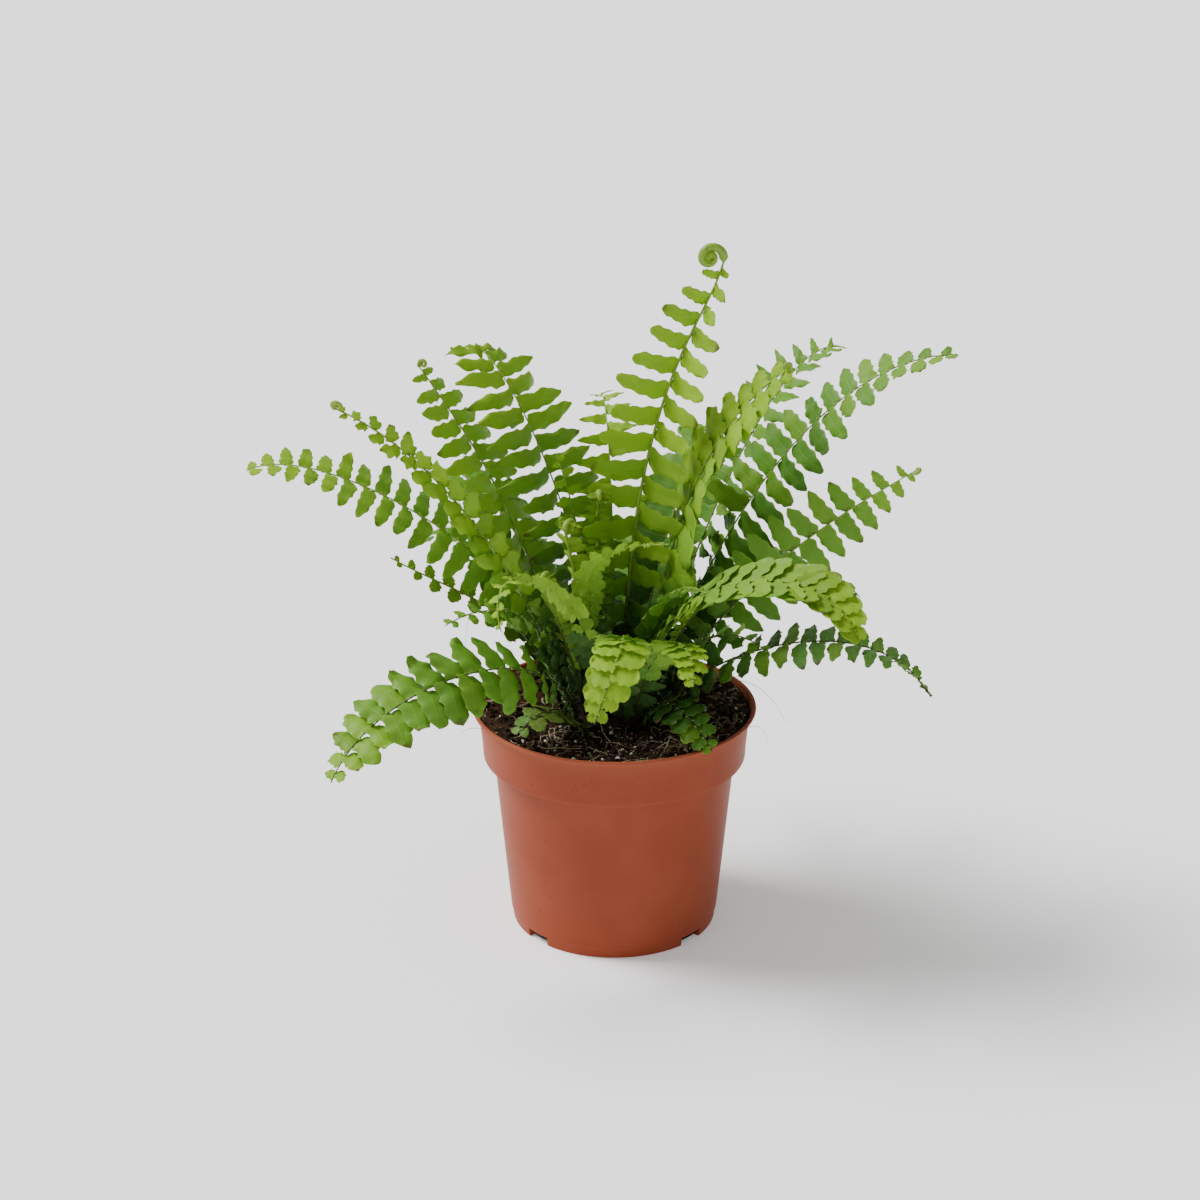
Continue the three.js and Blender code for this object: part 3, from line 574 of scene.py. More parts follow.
roots = [strand("root", laid_root(places), tapered(0.26, 0.4), 0) for places in LONG_ROOTS]
for _ in range(ROOT_COUNT):
    x, y = soil_spot(rng, 0.6)
    length = rng.uniform(8, 22)
    points = wandering(rng, x, y, length, rng.uniform(0.2, 1.6), 0.5)
    roots.append(strand("root", points, tapered(rng.uniform(0.07, 0.2), 0.6), 0))
roots = joined("pale_roots", roots)
bpy.ops.object.shade_smooth()
pale, place, shader = finish("pale_root", Roughness=0.6, Specular_IOR_Level=0.35)
feed(shader, Base_Color=place.noise(160, 3).ramp((0.3, (0.18, 0.10, 0.055)), (0.65, (0.62, 0.48, 0.32))))
roots.data.materials.append(pale)
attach(roots, "root")

wisps = []
for number in range(MOSS_COUNT):
    angle = math.radians(rng.uniform(-60, 50) if number % 3 else rng.uniform(120, 250))
    radius = rng.uniform(30, SOIL_EDGE[0] - 3)
    x, y = radius * math.cos(angle), radius * math.sin(angle)
    points = wandering(rng, x, y, rng.uniform(3, 7), rng.uniform(0.8, 2.2), 1.3)
    radii = [
        0.5 * math.sin(math.pi * (0.12 + 0.8 * step / STRAND_STEPS)) for step in range(STRAND_STEPS + 1)
    ]
    wisps.append(strand("wisp", points, radii, 0))
moss = joined("moss_wisps", wisps)
bpy.ops.object.shade_smooth()
dull, place, shader = finish("dry_moss", Roughness=0.9, Specular_IOR_Level=0.2)
skin = place.noise(90, 4).ramp(
    (0.3, (0.05, 0.035, 0.02)), (0.5, (0.16, 0.13, 0.06)), (0.7, (0.30, 0.27, 0.16))
)
feed(shader, Base_Color=skin, Normal=place.noise(1600, 3).bump(0.0004))
moss.data.materials.append(dull)
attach(moss, "root")

# ---------------------------------------------------------------------------------------------
# The fern's crown: the low, brown, scaly mound that every stalk leaves. Its papery scales are
# modelled once as a narrow bent tongue, and stand thickly round the mound, pointing up.

CROWN_RINGS = [
    (5, 85), (15, 85), (19, 89), (19, 94.6), (18.2, 96.0), (16, 97.1), (13, 97.9), (10, 98.3), (7, 98.5),
    (4, 98.5), (1.5, 98.5),
]
CROWN_SIDES = 72
CROWN_LUMPS = ((0.006, 1.0), (0.0018, 0.7))
SCALE_COUNT = 520


def modelled_scale():
    """A scale one unit long: a four-sided, tapering tongue with a bend where it is cut round."""
    bpy.ops.object.select_all(action="DESELECT")
    bpy.ops.mesh.primitive_cone_add(vertices=4, radius1=0.5, radius2=0.02, depth=1, location=(0, 0, 0.5))
    tongue = bpy.context.object
    bpy.ops.object.transform_apply(location=True, rotation=True, scale=True)
    bpy.ops.object.mode_set(mode="EDIT")
    bpy.ops.mesh.select_all(action="SELECT")
    bpy.ops.mesh.bisect(plane_co=(0, 0, 0.4), plane_no=(0, 0, 1))
    bpy.ops.transform.translate(value=(0, 0.12, 0))
    bpy.ops.object.mode_set(mode="OBJECT")
    return tongue


crown = turned_up("fern_crown", CROWN_RINGS, CROWN_SIDES)
for size, height in CROWN_LUMPS:
    roughen(crown, size, height, mid_level=0.7)
bpy.ops.object.shade_smooth()
bark, place, shader = finish("crown_bark", Roughness=0.9, Specular_IOR_Level=0.25)
ridge = place.stretched(1, 1, 0.3).noise(420, 4, 0.7)
skin = ridge.ramp(
    (0.3, (0.006, 0.004, 0.002)), (0.5, (0.022, 0.013, 0.006)), (0.72, (0.070, 0.040, 0.018))
)
feed(shader, Base_Color=skin, Normal=ridge.bump(0.0008))
crown.data.materials.append(bark)
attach(crown, "root")
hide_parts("crown")

tongue = modelled_scale()
tongue_points = fact_of(tongue)
crown_tree = BVHTree.FromObject(crown, bpy.context.evaluated_depsgraph_get())
rng = random.Random(23)


def laid_scale(at, out, up, length, width, lean):
    """A scale's points in metres: at a place in mm, leaning out of the way up."""
    along = np.array(up) * math.cos(lean) + np.array(out) * math.sin(lean)
    side = np.cross(along, out)
    side /= np.linalg.norm(side) + 1e-9
    face = np.cross(side, along)
    x, y, z = tongue_points.T
    spread = np.outer(x * width, side) + np.outer(y * width * 0.3, face) + np.outer(z * length, along)
    return (spread + np.array(at)) * MM


places = []
growths = []
for _ in range(SCALE_COUNT):
    angle = rng.uniform(0, math.tau)
    radius = CROWN_RADIUS * math.sqrt(rng.uniform(0.05, 0.98))
    x, y = radius * math.cos(angle), radius * math.sin(angle)
    at = dropped_on(crown_tree, x, y)
    if at is None:
        continue
    out = np.array([math.cos(angle), math.sin(angle), 0])
    lean = math.radians(rng.uniform(5, 62))
    length = rng.uniform(1.4, 3.4)
    places.append(laid_scale(np.array(at) / MM, out, (0, 0, 1), length, rng.uniform(0.3, 0.7), lean))
    growths.append((rng.random(), 0, 0))
scales = copies("crown_scales", tongue, places, growths)
papery, place, shader = finish("brown_scale", Roughness=0.65, Specular_IOR_Level=0.35)
tint = place.fact("growth")[0]
skin = tint.ramp((0.0, (0.014, 0.008, 0.004)), (0.6, (0.060, 0.032, 0.014)), (1.0, (0.20, 0.12, 0.06)))
feed(shader, Base_Color=skin)
scales.data.materials.append(papery)
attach(scales, "root")

# ---------------------------------------------------------------------------------------------
# The fronds. Each is one natural piece: a brown stalk out of the crown, a green rib, and two rows
# of thin leaflets set in turn along it, each with an ear at its upper base and a wavy edge.

ROOT_Z = 92
ROOT_DEPTH = 6


def plan(name, root, rise, bow, tip, pairs, leaflet, tone, **own):
    """A frond or shoot: its rib's four handles in mm, the pairs of leaflets, their length, the green.

    A pair of values holds one for the blade's foot and one for its tip. turn is the blade's turn about
    its rib, raised the leaflets' lift over the blade and lean their lean to the tip, all in degrees. fill
    is a leaflet's width over its pitch, widest the most it has over its length, and full how long the
    blade keeps its width. bare is the stalk's share of the rib, and stout the rib's girth over the
    usual. coil is a curled tip's radius in mm, thick the radius of its stem, and coil_turn its turn about
    the rib. curl is how much leaflets bend, tone goes from old to young green, and rusty is brown."""
    usual = dict(turn=(0, 0), raised=(0, 12), lean=(0, 14), fill=(1.1, 0.9), shape="broad", broad=False,
                 full=2.8, bare=0.2, curl=1.0, stout=1, rusty=0, coil=0, coil_turn=0)
    return dict(usual, name=name, root=root, rise=rise, bow=bow, tip=tip, pairs=pairs, leaflet=leaflet,
                tone=tone) | own


FRONDS = [
    plan("frond_left_long", (-14, 4), (1, 7, 130), (-113, 9, 218), (-152, 10, 198), 17, 21.5, 0.72,
         full=3.7, turn=(-38, -10), raised=(-3, 18), lean=(0, 0), broad=True, fill=(0.85, 0.74)),
    plan("frond_left_upper", (-15, -5), (-35, -17, 162), (-71, -22, 216), (-110, -22, 234), 15, 13, 0.86,
         turn=(-95, -75), raised=(70, 60), lean=(52, 42), coil=2.6, shape="pointed", fill=(1.5, 1.3),
         curl=2.4, stout=1.4, widest=0.72, coil_turn=32),
    plan("frond_tall_light", (-9, 6), (-50, 28, 190), (-51, 45, 185), (-83, 60, 228), 14, 24, 0.92,
         full=8, turn=(0, 13), raised=(2, 10), lean=(-12, 0), coil=2.2, fill=(1.0, 0.85), stout=1.3,
         widest=0.37),
    plan("frond_tall_dark", (-4, 10), (-6, 36, 150), (-49, 59, 248), (-65, 84, 231), 15, 26, 0.74, full=6,
         turn=(-5, 14), raised=(30, 6), lean=(-14, 12), shape="tailed", broad=True, fill=(1.1, 0.95),
         curl=2.0),
    plan("frond_back_light", (1, 12), (0, 42, 150), (-2, 74, 218), (-6, 105, 203), 11, 19, 0.88,
         turn=(-20, -5), raised=(10, 30), lean=(-10, -14), shape="slim", fill=(1.2, 0.9)),
    plan("frond_tall_coil", (4, 5), (3, 13, 232), (38, 17, 259), (43.5, 16, 284), 14, 23.5, 0.86,
         full=3.6, turn=(66, 50), raised=(33, 52), lean=(-8, -4), coil=6, coil_turn=-53, shape="spoon",
         broad=True, fill=(0.95, 0.75), stout=1.9, thick=1.9),
    plan("frond_right_young", (11, 1), (20, 2, 180), (38, -1, 223), (69, -6, 246), 13, 22, 0.82, full=2.4,
         turn=(-20, 40), raised=(10, 18), lean=(10, 18), coil=2, broad=True, fill=(1.7, 1.7), curl=1.2,
         stout=1.4, widest=1.1),
    plan("frond_right_back", (11, 9), (29, 27, 145), (66, 44, 246), (96, 62, 237), 17, 21, 0.48, full=3.8,
         turn=(-24, 14), raised=(5, 30), lean=(-11, 30), shape="slim", fill=(1.0, 0.8)),
    plan("frond_right_long", (15, 7), (37, 15, 165), (84, 16, 246), (139, 12, 247), 18, 22, 0.47,
         full=2.1, turn=(68, 8), raised=(-3, 22), lean=(-7, 7), broad=True, fill=(1.05, 0.95), curl=1.4),
    plan("frond_right_mid", (16, 1), (49, -9, 162), (97, -16, 192), (120, -20, 208), 13, 17.5, 0.57,
         full=3.6, turn=(63, 100), raised=(18, -4), lean=(-2, -12), coil=1.8, shape="pointed", broad=True,
         fill=(1.05, 0.9)),
    plan("frond_right_thin", (22, 7), (19, 18, 143), (95, 25, 154), (105, 26, 136), 9, 7, 0.4,
         turn=(20, 30), raised=(10, 10), shape="round", fill=(0.8, 0.8)),
    plan("frond_right_low", (23, -4), (13, -15, 117), (101, -23, 163), (130, -26, 112), 15, 17, 0.35,
         full=5, turn=(0, -26), raised=(-2, 22), lean=(0, -10), fill=(1.1, 0.75), curl=1.4),
    plan("frond_front_right", (10, -9), (2, -39, 178), (84, -56, 190), (93, -76, 158), 17, 15.5, 0.72,
         full=6, turn=(8, 28), raised=(0, 32), lean=(48, 34), broad=True, fill=(1.9, 1.8), curl=0.55,
         widest=1.25),
    plan("frond_front_centre", (3, -14), (3, -52, 165), (8, -92, 176), (-8, -94, 131), 12, 11.5, 0.82,
         bare=0.36, raised=(-2, 4), fill=(1.8, 1.7), curl=0.8, full=5, widest=1.2),
    plan("frond_front_low", (7, -16), (12, -40, 150), (32, -62, 160), (30, -82, 141), 10, 9.5, 0.78,
         bare=0.34, raised=(-6, 0), fill=(1.8, 1.7), curl=0.8, full=5, widest=1.2),
    plan("frond_front_left", (-7, -11), (0, -45, 175), (-55, -70, 200), (-44, -78, 162), 12, 8, 0.9,
         bare=0.4, raised=(20, 20), fill=(0.9, 0.8), curl=2.6),
    plan("frond_front_arch", (-2, -7), (-14, -30, 165), (-20, -57, 190), (20, -68, 194), 12, 7, 0.86,
         bare=0.4, raised=(30, 30), fill=(0.9, 0.8), curl=2.6),
    plan("frond_left_low", (-15, -12), (-20, -52, 160), (-95, -76, 140), (-111, -84, 101), 14, 17.5, 0.6,
         full=5, turn=(-50, 0), raised=(3, 14), lean=(10, 4), broad=True, fill=(1.9, 1.1), curl=2.0,
         widest=0.78),
    plan("frond_left_thin", (-22, 3), (-30, 2, 140), (-65, 3, 145), (-93, 4, 162), 9, 8.5, 0.66,
         turn=(-30, -30), raised=(10, 15), shape="round", fill=(0.85, 0.7), rusty=0.45, stout=1.3),
    plan("frond_rim_right", (13, -13), (14, -22, 114), (26, -42, 121), (39, -55, 101), 7, 10.5, 0.3,
         bare=0.3, turn=(5, 25), raised=(5, 10), lean=(10, 10), shape="round", fill=(1.8, 1.6), curl=1.4,
         widest=1.0),
    plan("frond_soil_left", (-13, -21), (-20, -33, 116), (-30, -42, 115), (-40, -46, 104), 5, 11, 0.3,
         bare=0.3, raised=(0, 5), shape="round", fill=(1.3, 1.1), rusty=0.3),
    plan("frond_inner_left", (-10, -2), (-14, -10, 130), (-40, -30, 165), (-68, -42, 150), 10, 11, 0.48,
         turn=(-20, -20), raised=(0, 10), fill=(1.5, 1.3), curl=1.8),
    plan("frond_inner_right", (14, -6), (20, -16, 130), (44, -34, 155), (62, -44, 138), 9, 10, 0.25,
         turn=(20, 20), raised=(0, 10), fill=(1.5, 1.3), curl=1.8),
    plan("frond_inner_front", (7, -4), (12, -22, 140), (20, -45, 175), (34, -62, 172), 10, 9, 0.4,
         raised=(0, 10), fill=(1.7, 1.5), curl=1.9),
    plan("frond_inner_middle", (-2, 5), (-8, 10, 140), (-16, 14, 180), (-24, 10, 205), 10, 10, 0.66,
         turn=(-60, -60), raised=(10, 20), fill=(1.5, 1.4), curl=1.9),
    plan("frond_back_right_high", (6, 11), (16, 30, 145), (38, 70, 210), (45, 112, 185), 11, 18, 0.45,
         raised=(4, 12)),
    plan("frond_back_right_low", (15, 12), (34, 34, 135), (72, 72, 160), (92, 96, 120), 9, 18, 0.45,
         shape="pointed"),
    plan("frond_back_middle", (4, 18), (8, 42, 135), (14, 90, 160), (16, 128, 118), 11, 19, 0.5),
    plan("frond_back_left_high", (-10, 13), (-24, 32, 138), (-62, 62, 200), (-84, 90, 168), 10, 18, 0.5,
         raised=(2, 12)),
    plan("frond_back_left_low", (-6, 18), (-20, 42, 132), (-48, 88, 160), (-62, 116, 118), 9, 18, 0.35,
         shape="pointed"),
    plan("frond_back_side", (-16, 9), (-34, 26, 130), (-68, 58, 176), (-84, 66, 146), 9, 16, 0.45),
]
CROZIERS = [
    plan("crozier_" + name, *handles, 0, 0, tone, coil=coil, thick=1.45) for name, handles, tone, coil in (
        ("left", ((-6, -3), (-9, -8, 125), (-16, -16, 160), (-20, -20, 182)), 0.9, 3.2),
        ("low", ((-11.5, -8), (-15, -14, 118), (-24, -24, 148), (-29, -32, 164)), 0.9, 2.8),
        ("middle", ((-6, 1), (-5, 2, 130), (-8, 4, 165), (-7, 6, 188)), 0.6, 2.6),
        ("right", ((13, -3), (18, -8, 120), (32, -16, 150), (45, -22, 160)), 0.9, 2.4),
    )
]
# The rib, and how leaflets are set on it: lengths in mm, turns and bends in degrees.
RIB_FRAMES = 60
RIB_SAMPLES = 200
NOTCH_SKEW = 0.125
LENGTH_SPREAD = 0.07
RAISED_SPREAD = 5
LEAFLET_SAG = 0.16
MOST_RAISED = 76


def chance(number, salt):
    """A repeatable number from 0 to 1."""
    wave = math.sin(number * 12.9898 + salt * 78.233) * 43758.5453
    return wave - math.floor(wave)


def varied(pair, number, salt):
    """The least of a pair, and by chance up to all of the second on top."""
    return pair[0] + pair[1] * chance(number, salt)


def unit(vector):
    return vector / (np.linalg.norm(vector) + 1e-12)


def about(vector, axis, angle):
    """vector turned about a unit axis."""
    return (
        vector * math.cos(angle)
        + np.cross(axis, vector) * math.sin(angle)
        + axis * (axis @ vector) * (1 - math.cos(angle))
    )


def between(pair, share):
    return pair[0] + (pair[1] - pair[0]) * share


def rib_frames(frond):
    """The rib as places in mm with the way along, the blade's side and its face at each."""
    root = np.array([*frond["root"], ROOT_Z], float)
    rise, bow, tip = (np.array(frond[key], float) for key in ("rise", "bow", "tip"))

    def curve(t):
        return (1 - t) ** 3 * root + 3 * (1 - t) ** 2 * t * rise + 3 * (1 - t) * t * t * bow + t ** 3 * tip

    def heading(t):
        return unit(
            3 * (1 - t) ** 2 * (rise - root) + 6 * (1 - t) * t * (bow - rise) + 3 * t * t * (tip - bow)
        )

    steps = np.linspace(0, 1, RIB_SAMPLES + 1)
    points = np.array([curve(t) for t in steps])
    lengths = np.concatenate([[0], np.cumsum(np.linalg.norm(np.diff(points, axis=0), axis=1))])
    side = np.array([root[1] - tip[1], tip[0] - root[0], 0])
    frames = []
    for number in range(RIB_FRAMES + 1):
        share = number / RIB_FRAMES
        t = float(np.interp(share * lengths[-1], lengths, steps))
        along = heading(t)
        side = unit(side - along * (side @ along))
        turned = about(side, along, math.radians(between(frond["turn"], share)))
        frames.append((curve(t), along, turned, np.cross(along, turned)))
    return frames, lengths[-1]


def frame_at(rib, share):
    place = min(max(share, 0), 1) * RIB_FRAMES
    index = min(int(place), RIB_FRAMES - 1)
    mix = place - index
    mixed = [a + (b - a) * mix for a, b in zip(rib[0][index], rib[0][index + 1])]
    return (mixed[0], *(unit(vector) for vector in mixed[1:]))


def notch_shares(frond):
    """Where each pair of leaflets ends, as shares of the rib; the pitch shortens towards the tip."""
    bare = frond["bare"]
    steps = [number / frond["pairs"] for number in range(frond["pairs"] + 1)]
    return [bare + (1 - bare) * x * (1.2 - 0.2 * x) for x in steps]


def leaflet_length(frond, x):
    """In mm, at a share of the blade: shorter at its foot, and falling off towards its tip."""
    return frond["leaflet"] * min(1, 0.55 + 1.8 * x) * (1 - 0.8 * x ** frond["full"])


def leaflet_stance(frond, number, sign, lower, upper, x, bend, trim):
    """Where a leaflet springs from, how long it is, and which way it reaches."""
    middle = (lower[0] + upper[0]) / 2
    along = upper[0] - lower[0]
    pitch = np.linalg.norm(along)
    along = along / pitch
    length = leaflet_length(frond, x) * (1 + LENGTH_SPREAD * (2 * chance(number, 1) - 1)) * trim
    raised = between(frond["raised"], x) + bend + RAISED_SPREAD * (2 * chance(number, 2) - 1)
    raised = math.radians(min(MOST_RAISED, raised))
    lean = math.radians(between(frond["lean"], x * x))
    side = sign * (lower[2] + upper[2]) / 2
    side = unit(side - along * (side @ along))
    face = sign * np.cross(along, side)
    out = side * math.cos(raised) + face * math.sin(raised)
    up = face * math.cos(raised) - side * math.sin(raised)
    reach = out * math.cos(lean) + along * math.sin(lean)
    return dict(middle=middle, along=along, pitch=pitch, length=length, up=up, reach=reach,
                lower=lower[0], upper=upper[0], x=x, number=number)


# A leaflet that would reach another frond is bent by so many degrees, or trimmed to a share, until it
# is clear by these mm. Its plain outline is tested, as (far out, across) pairs.
BENDS = (0, 16, -16, 32, -32, 50, -50)
TRIMS = (1, 0.8, 0.62, 0.45, 0.3, 0.18)
LEAFLET_CLEARANCE = 1.25
RIB_CLEARANCE = 2.0
SAMPLE_STEP = 1.6
PLAIN_OUTLINES = {
    True: ((0.55, 0.14), (0.97, 0.34), (0.98, 0.66), (0.45, 0.92)),
    False: ((0.62, 0.14), (1, 0.55), (0.5, 0.9)),
}


def plain_ring(stance, broad):
    """A leaflet's edge in a few points, for telling whether it is clear of other fronds."""
    points = [stance["lower"]]
    for far, across in PLAIN_OUTLINES[broad]:
        points.append(
            stance["middle"]
            + stance["reach"] * far * stance["length"]
            + stance["along"] * (across - 0.5) * stance["pitch"]
            - stance["up"] * LEAFLET_SAG * stance["length"] * far * far
        )
    points.append(stance["upper"])
    return points


def ladder(count):
    """The triangles that fill a ring of points from side to side."""
    low, high, triangles = 0, count - 1, []
    while high - low >= 2:
        triangles.append((low, low + 1, high))
        low += 1
        if high - low >= 2:
            triangles.append((low, high - 1, high))
            high -= 1
    return triangles


def leaflet_probe(stance, broad, owner):
    ring = plain_ring(stance, broad)
    samples = []
    for a, b in zip(ring, ring[1:]):
        steps = max(1, math.ceil(np.linalg.norm(b - a) / SAMPLE_STEP))
        samples.extend(Vector(a + (b - a) * step / steps) for step in range(steps))
    corners = [Vector(point) for point in ring]
    triangles = [tuple(corners[k] for k in triangle) for triangle in ladder(len(ring))]
    ring = np.array(ring)
    return dict(samples=samples, triangles=triangles, low=ring.min(0) - LEAFLET_CLEARANCE,
                high=ring.max(0) + LEAFLET_CLEARANCE, owner=owner)


# The coil at a young tip: sizes in mm, and how it winds.
COIL_STEPS = 27
COIL_PROBE_STEPS = 9
COIL_TURNS = 1.35
COIL_TIGHTENING = 1.4
COIL_TAPER = 0.45
OPEN_COIL = 4


def coil_frames(frond, last, steps):
    """The coil at a young tip: the rib winds on in a spiral towards the blade's upper face."""
    at, along, side, face = last
    own_turn = math.radians(frond["coil_turn"])
    side, face = about(side, along, own_turn), about(face, along, own_turn)
    frames = []
    step = math.tau * COIL_TURNS / steps
    for number in range(steps):
        radius = frond["coil"] * math.exp(-COIL_TIGHTENING * number / steps)
        heading = step * (number + 0.5)
        chord = 2 * radius * math.sin(step / 2)
        at = at + (along * math.cos(heading) + face * math.sin(heading)) * chord
        angle = step * (number + 1)
        way = along * math.cos(angle) + face * math.sin(angle)
        frames.append((at, way, side, face * math.cos(angle) - along * math.sin(angle)))
    return frames


def rib_probe(frond, rib):
    steps = math.ceil(rib[1] / SAMPLE_STEP)
    places = [frame_at(rib, step / steps)[0] for step in range(steps + 1)]
    if frond["coil"]:
        places += [frame[0] for frame in coil_frames(frond, frame_at(rib, 1), COIL_PROBE_STEPS)]
    spread = np.array(places)
    return dict(samples=[Vector(place) for place in places], low=spread.min(0) - RIB_CLEARANCE,
                high=spread.max(0) + RIB_CLEARANCE, owner=frond["name"])


def reaches(samples, triangles, distance):
    return any(
        (closest_point_on_tri(sample, *triangle) - sample).length < distance
        for sample in samples
        for triangle in triangles
    )


def apart(one, other):
    return bool(np.any(one["low"] > other["high"]) or np.any(other["low"] > one["high"]))


def is_clear(probe, ribs, placed, ease=1.0):
    for rib in ribs:
        if rib["owner"] == probe["owner"] or apart(probe, rib):
            continue
        if reaches(rib["samples"], probe["triangles"], RIB_CLEARANCE * ease):
            return False
    for other in placed:
        if other["owner"] == probe["owner"] or apart(probe, other):
            continue
        if reaches(probe["samples"], other["triangles"], LEAFLET_CLEARANCE * ease):
            return False
        if reaches(other["samples"], probe["triangles"], LEAFLET_CLEARANCE * ease):
            return False
    return True


def clear_stance(frond, number, sign, lower, upper, x, ribs, placed):
    """A leaflet that would reach another frond is bent, and then shortened, until it is clear."""
    for trim in TRIMS:
        for bend in BENDS:
            stance = leaflet_stance(frond, number, sign, lower, upper, x, bend, trim)
            probe = leaflet_probe(stance, frond["broad"], frond["name"])
            if is_clear(probe, ribs, placed):
                placed.append(probe)
                return stance
    placed.append(probe)
    return stance


# The leaflet, modelled once in six outlines on a strip one unit long and one unit wide. The
# half towards the frond's tip has the ear. Each row is (place along, upper half, lower half).
OUTLINES = {
    "broad": (
        (0, 0.44, 0.28), (0.06, 0.54, 0.42), (0.18, 0.47, 0.50), (0.32, 0.46, 0.49), (0.46, 0.48, 0.46),
        (0.60, 0.44, 0.43), (0.74, 0.40, 0.38), (0.88, 0.29, 0.29), (1, 0.09, 0.09),
    ),
    "spoon": (
        (0, 0.42, 0.34), (0.06, 0.50, 0.46), (0.20, 0.44, 0.50), (0.36, 0.40, 0.46), (0.52, 0.38, 0.40),
        (0.68, 0.38, 0.36), (0.82, 0.38, 0.34), (0.94, 0.27, 0.26), (1, 0.10, 0.10),
    ),
    "slim": (
        (0, 0.40, 0.28), (0.05, 0.50, 0.44), (0.15, 0.42, 0.47), (0.30, 0.34, 0.42), (0.46, 0.31, 0.36),
        (0.62, 0.26, 0.30), (0.78, 0.19, 0.22), (0.91, 0.10, 0.12), (1, 0.02, 0.02),
    ),
    "tailed": (
        (0, 0.38, 0.30), (0.06, 0.52, 0.44), (0.17, 0.41, 0.46), (0.32, 0.36, 0.46), (0.47, 0.41, 0.44),
        (0.62, 0.44, 0.41), (0.78, 0.36, 0.32), (0.90, 0.19, 0.17), (1, 0.07, 0.07),
    ),
    "pointed": (
        (0, 0.36, 0.26), (0.06, 0.50, 0.42), (0.17, 0.46, 0.48), (0.31, 0.43, 0.48), (0.46, 0.42, 0.46),
        (0.61, 0.40, 0.42), (0.76, 0.33, 0.34), (0.90, 0.19, 0.20), (1, 0.05, 0.05),
    ),
    "round": (
        (0, 0.28, 0.23), (0.08, 0.46, 0.42), (0.20, 0.50, 0.50), (0.35, 0.50, 0.50), (0.50, 0.50, 0.50),
        (0.65, 0.47, 0.47), (0.80, 0.38, 0.38), (0.93, 0.22, 0.22), (1, 0.08, 0.08),
    ),
}
LEAFLET_COLUMNS = 2
WIDEST = {"slim": 0.5, "tailed": 0.36, "pointed": 0.62, "spoon": 0.6, "broad": 0.9, "round": 0.9}


def choose(test):
    """In edit mode, selects just the vertices whose place passes the test."""
    shape = bmesh.from_edit_mesh(bpy.context.edit_object.data)
    for vertex in shape.verts:
        vertex.select = bool(test(vertex.co))
    shape.select_flush_mode()
    bmesh.update_edit_mesh(bpy.context.edit_object.data)


def modelled_leaflet(name, outline):
    """A flat strip that is drawn in to an outline, rounded once and given two sides.

    Its blade fact is the place across, from -1 to 1, and the place along, from 0 to 1."""
    rows = len(outline) - 1
    bpy.ops.object.select_all(action="DESELECT")
    bpy.ops.mesh.primitive_grid_add(
        x_subdivisions=rows, y_subdivisions=LEAFLET_COLUMNS, size=1, location=(0.5, 0, 0)
    )
    bpy.ops.object.transform_apply(location=True, rotation=True, scale=True)
    leaflet = bpy.context.object
    leaflet.name = name
    give_fact(leaflet.data, "blade", fact_of(leaflet)[:, (1, 0, 2)] * (2, 1, 0))
    bpy.ops.object.mode_set(mode="EDIT")
    for number, (far, upper, lower) in enumerate(outline):
        row = number / rows
        for sign, half in ((1, upper), (-1, lower)):
            choose(lambda p: abs(p.x - row) < 0.01 and sign * p.y > 0.01)
            bpy.ops.transform.resize(value=(1, 2 * half, 1), center_override=(row, 0, 0))
    order = sorted(range(rows + 1), key=lambda n: n if outline[n][0] < n / rows else 2 * rows - n)
    for number in order:
        row = number / rows
        choose(lambda p: abs(p.x - row) < 0.004)
        bpy.ops.transform.translate(value=(outline[number][0] - row, 0, 0))
    bpy.ops.object.mode_set(mode="OBJECT")
    finish_with(leaflet, "SUBSURF", levels=1, boundary_smooth="PRESERVE_CORNERS")
    finish_with(leaflet, "SOLIDIFY", thickness=1, offset=0)
    return leaflet


LEAFLETS = {name: modelled_leaflet("leaflet_" + name, outline) for name, outline in OUTLINES.items()}
LEAFLET_POINTS = {name: fact_of(leaflet) for name, leaflet in LEAFLETS.items()}
LEAFLET_BLADES = {name: fact_of(leaflet, "blade") for name, leaflet in LEAFLETS.items()}

# How leaflets bend. A pair is the least, and what may come on top by chance. BLADE_THICKNESS is in mm,
# and what isn't in degrees is a share of a leaflet's length or width.
TWIST_DEGREES = (7, 9)
SWEEP = (0.03, 0.10)
CUP = (0.06, 0.22)
WAVE = (0.20, 0.40)
WAVES = (1.6, 1)
RAGGED = 0.11
RAGGED_PACE = 21
DROOP = 0.20
MIDRIB_SINK = 0.10
TAIL_START = 0.65
TAIL_DROP = 0.22
THIN_EDGE = 0.55
BLADE_THICKNESS = 0.26


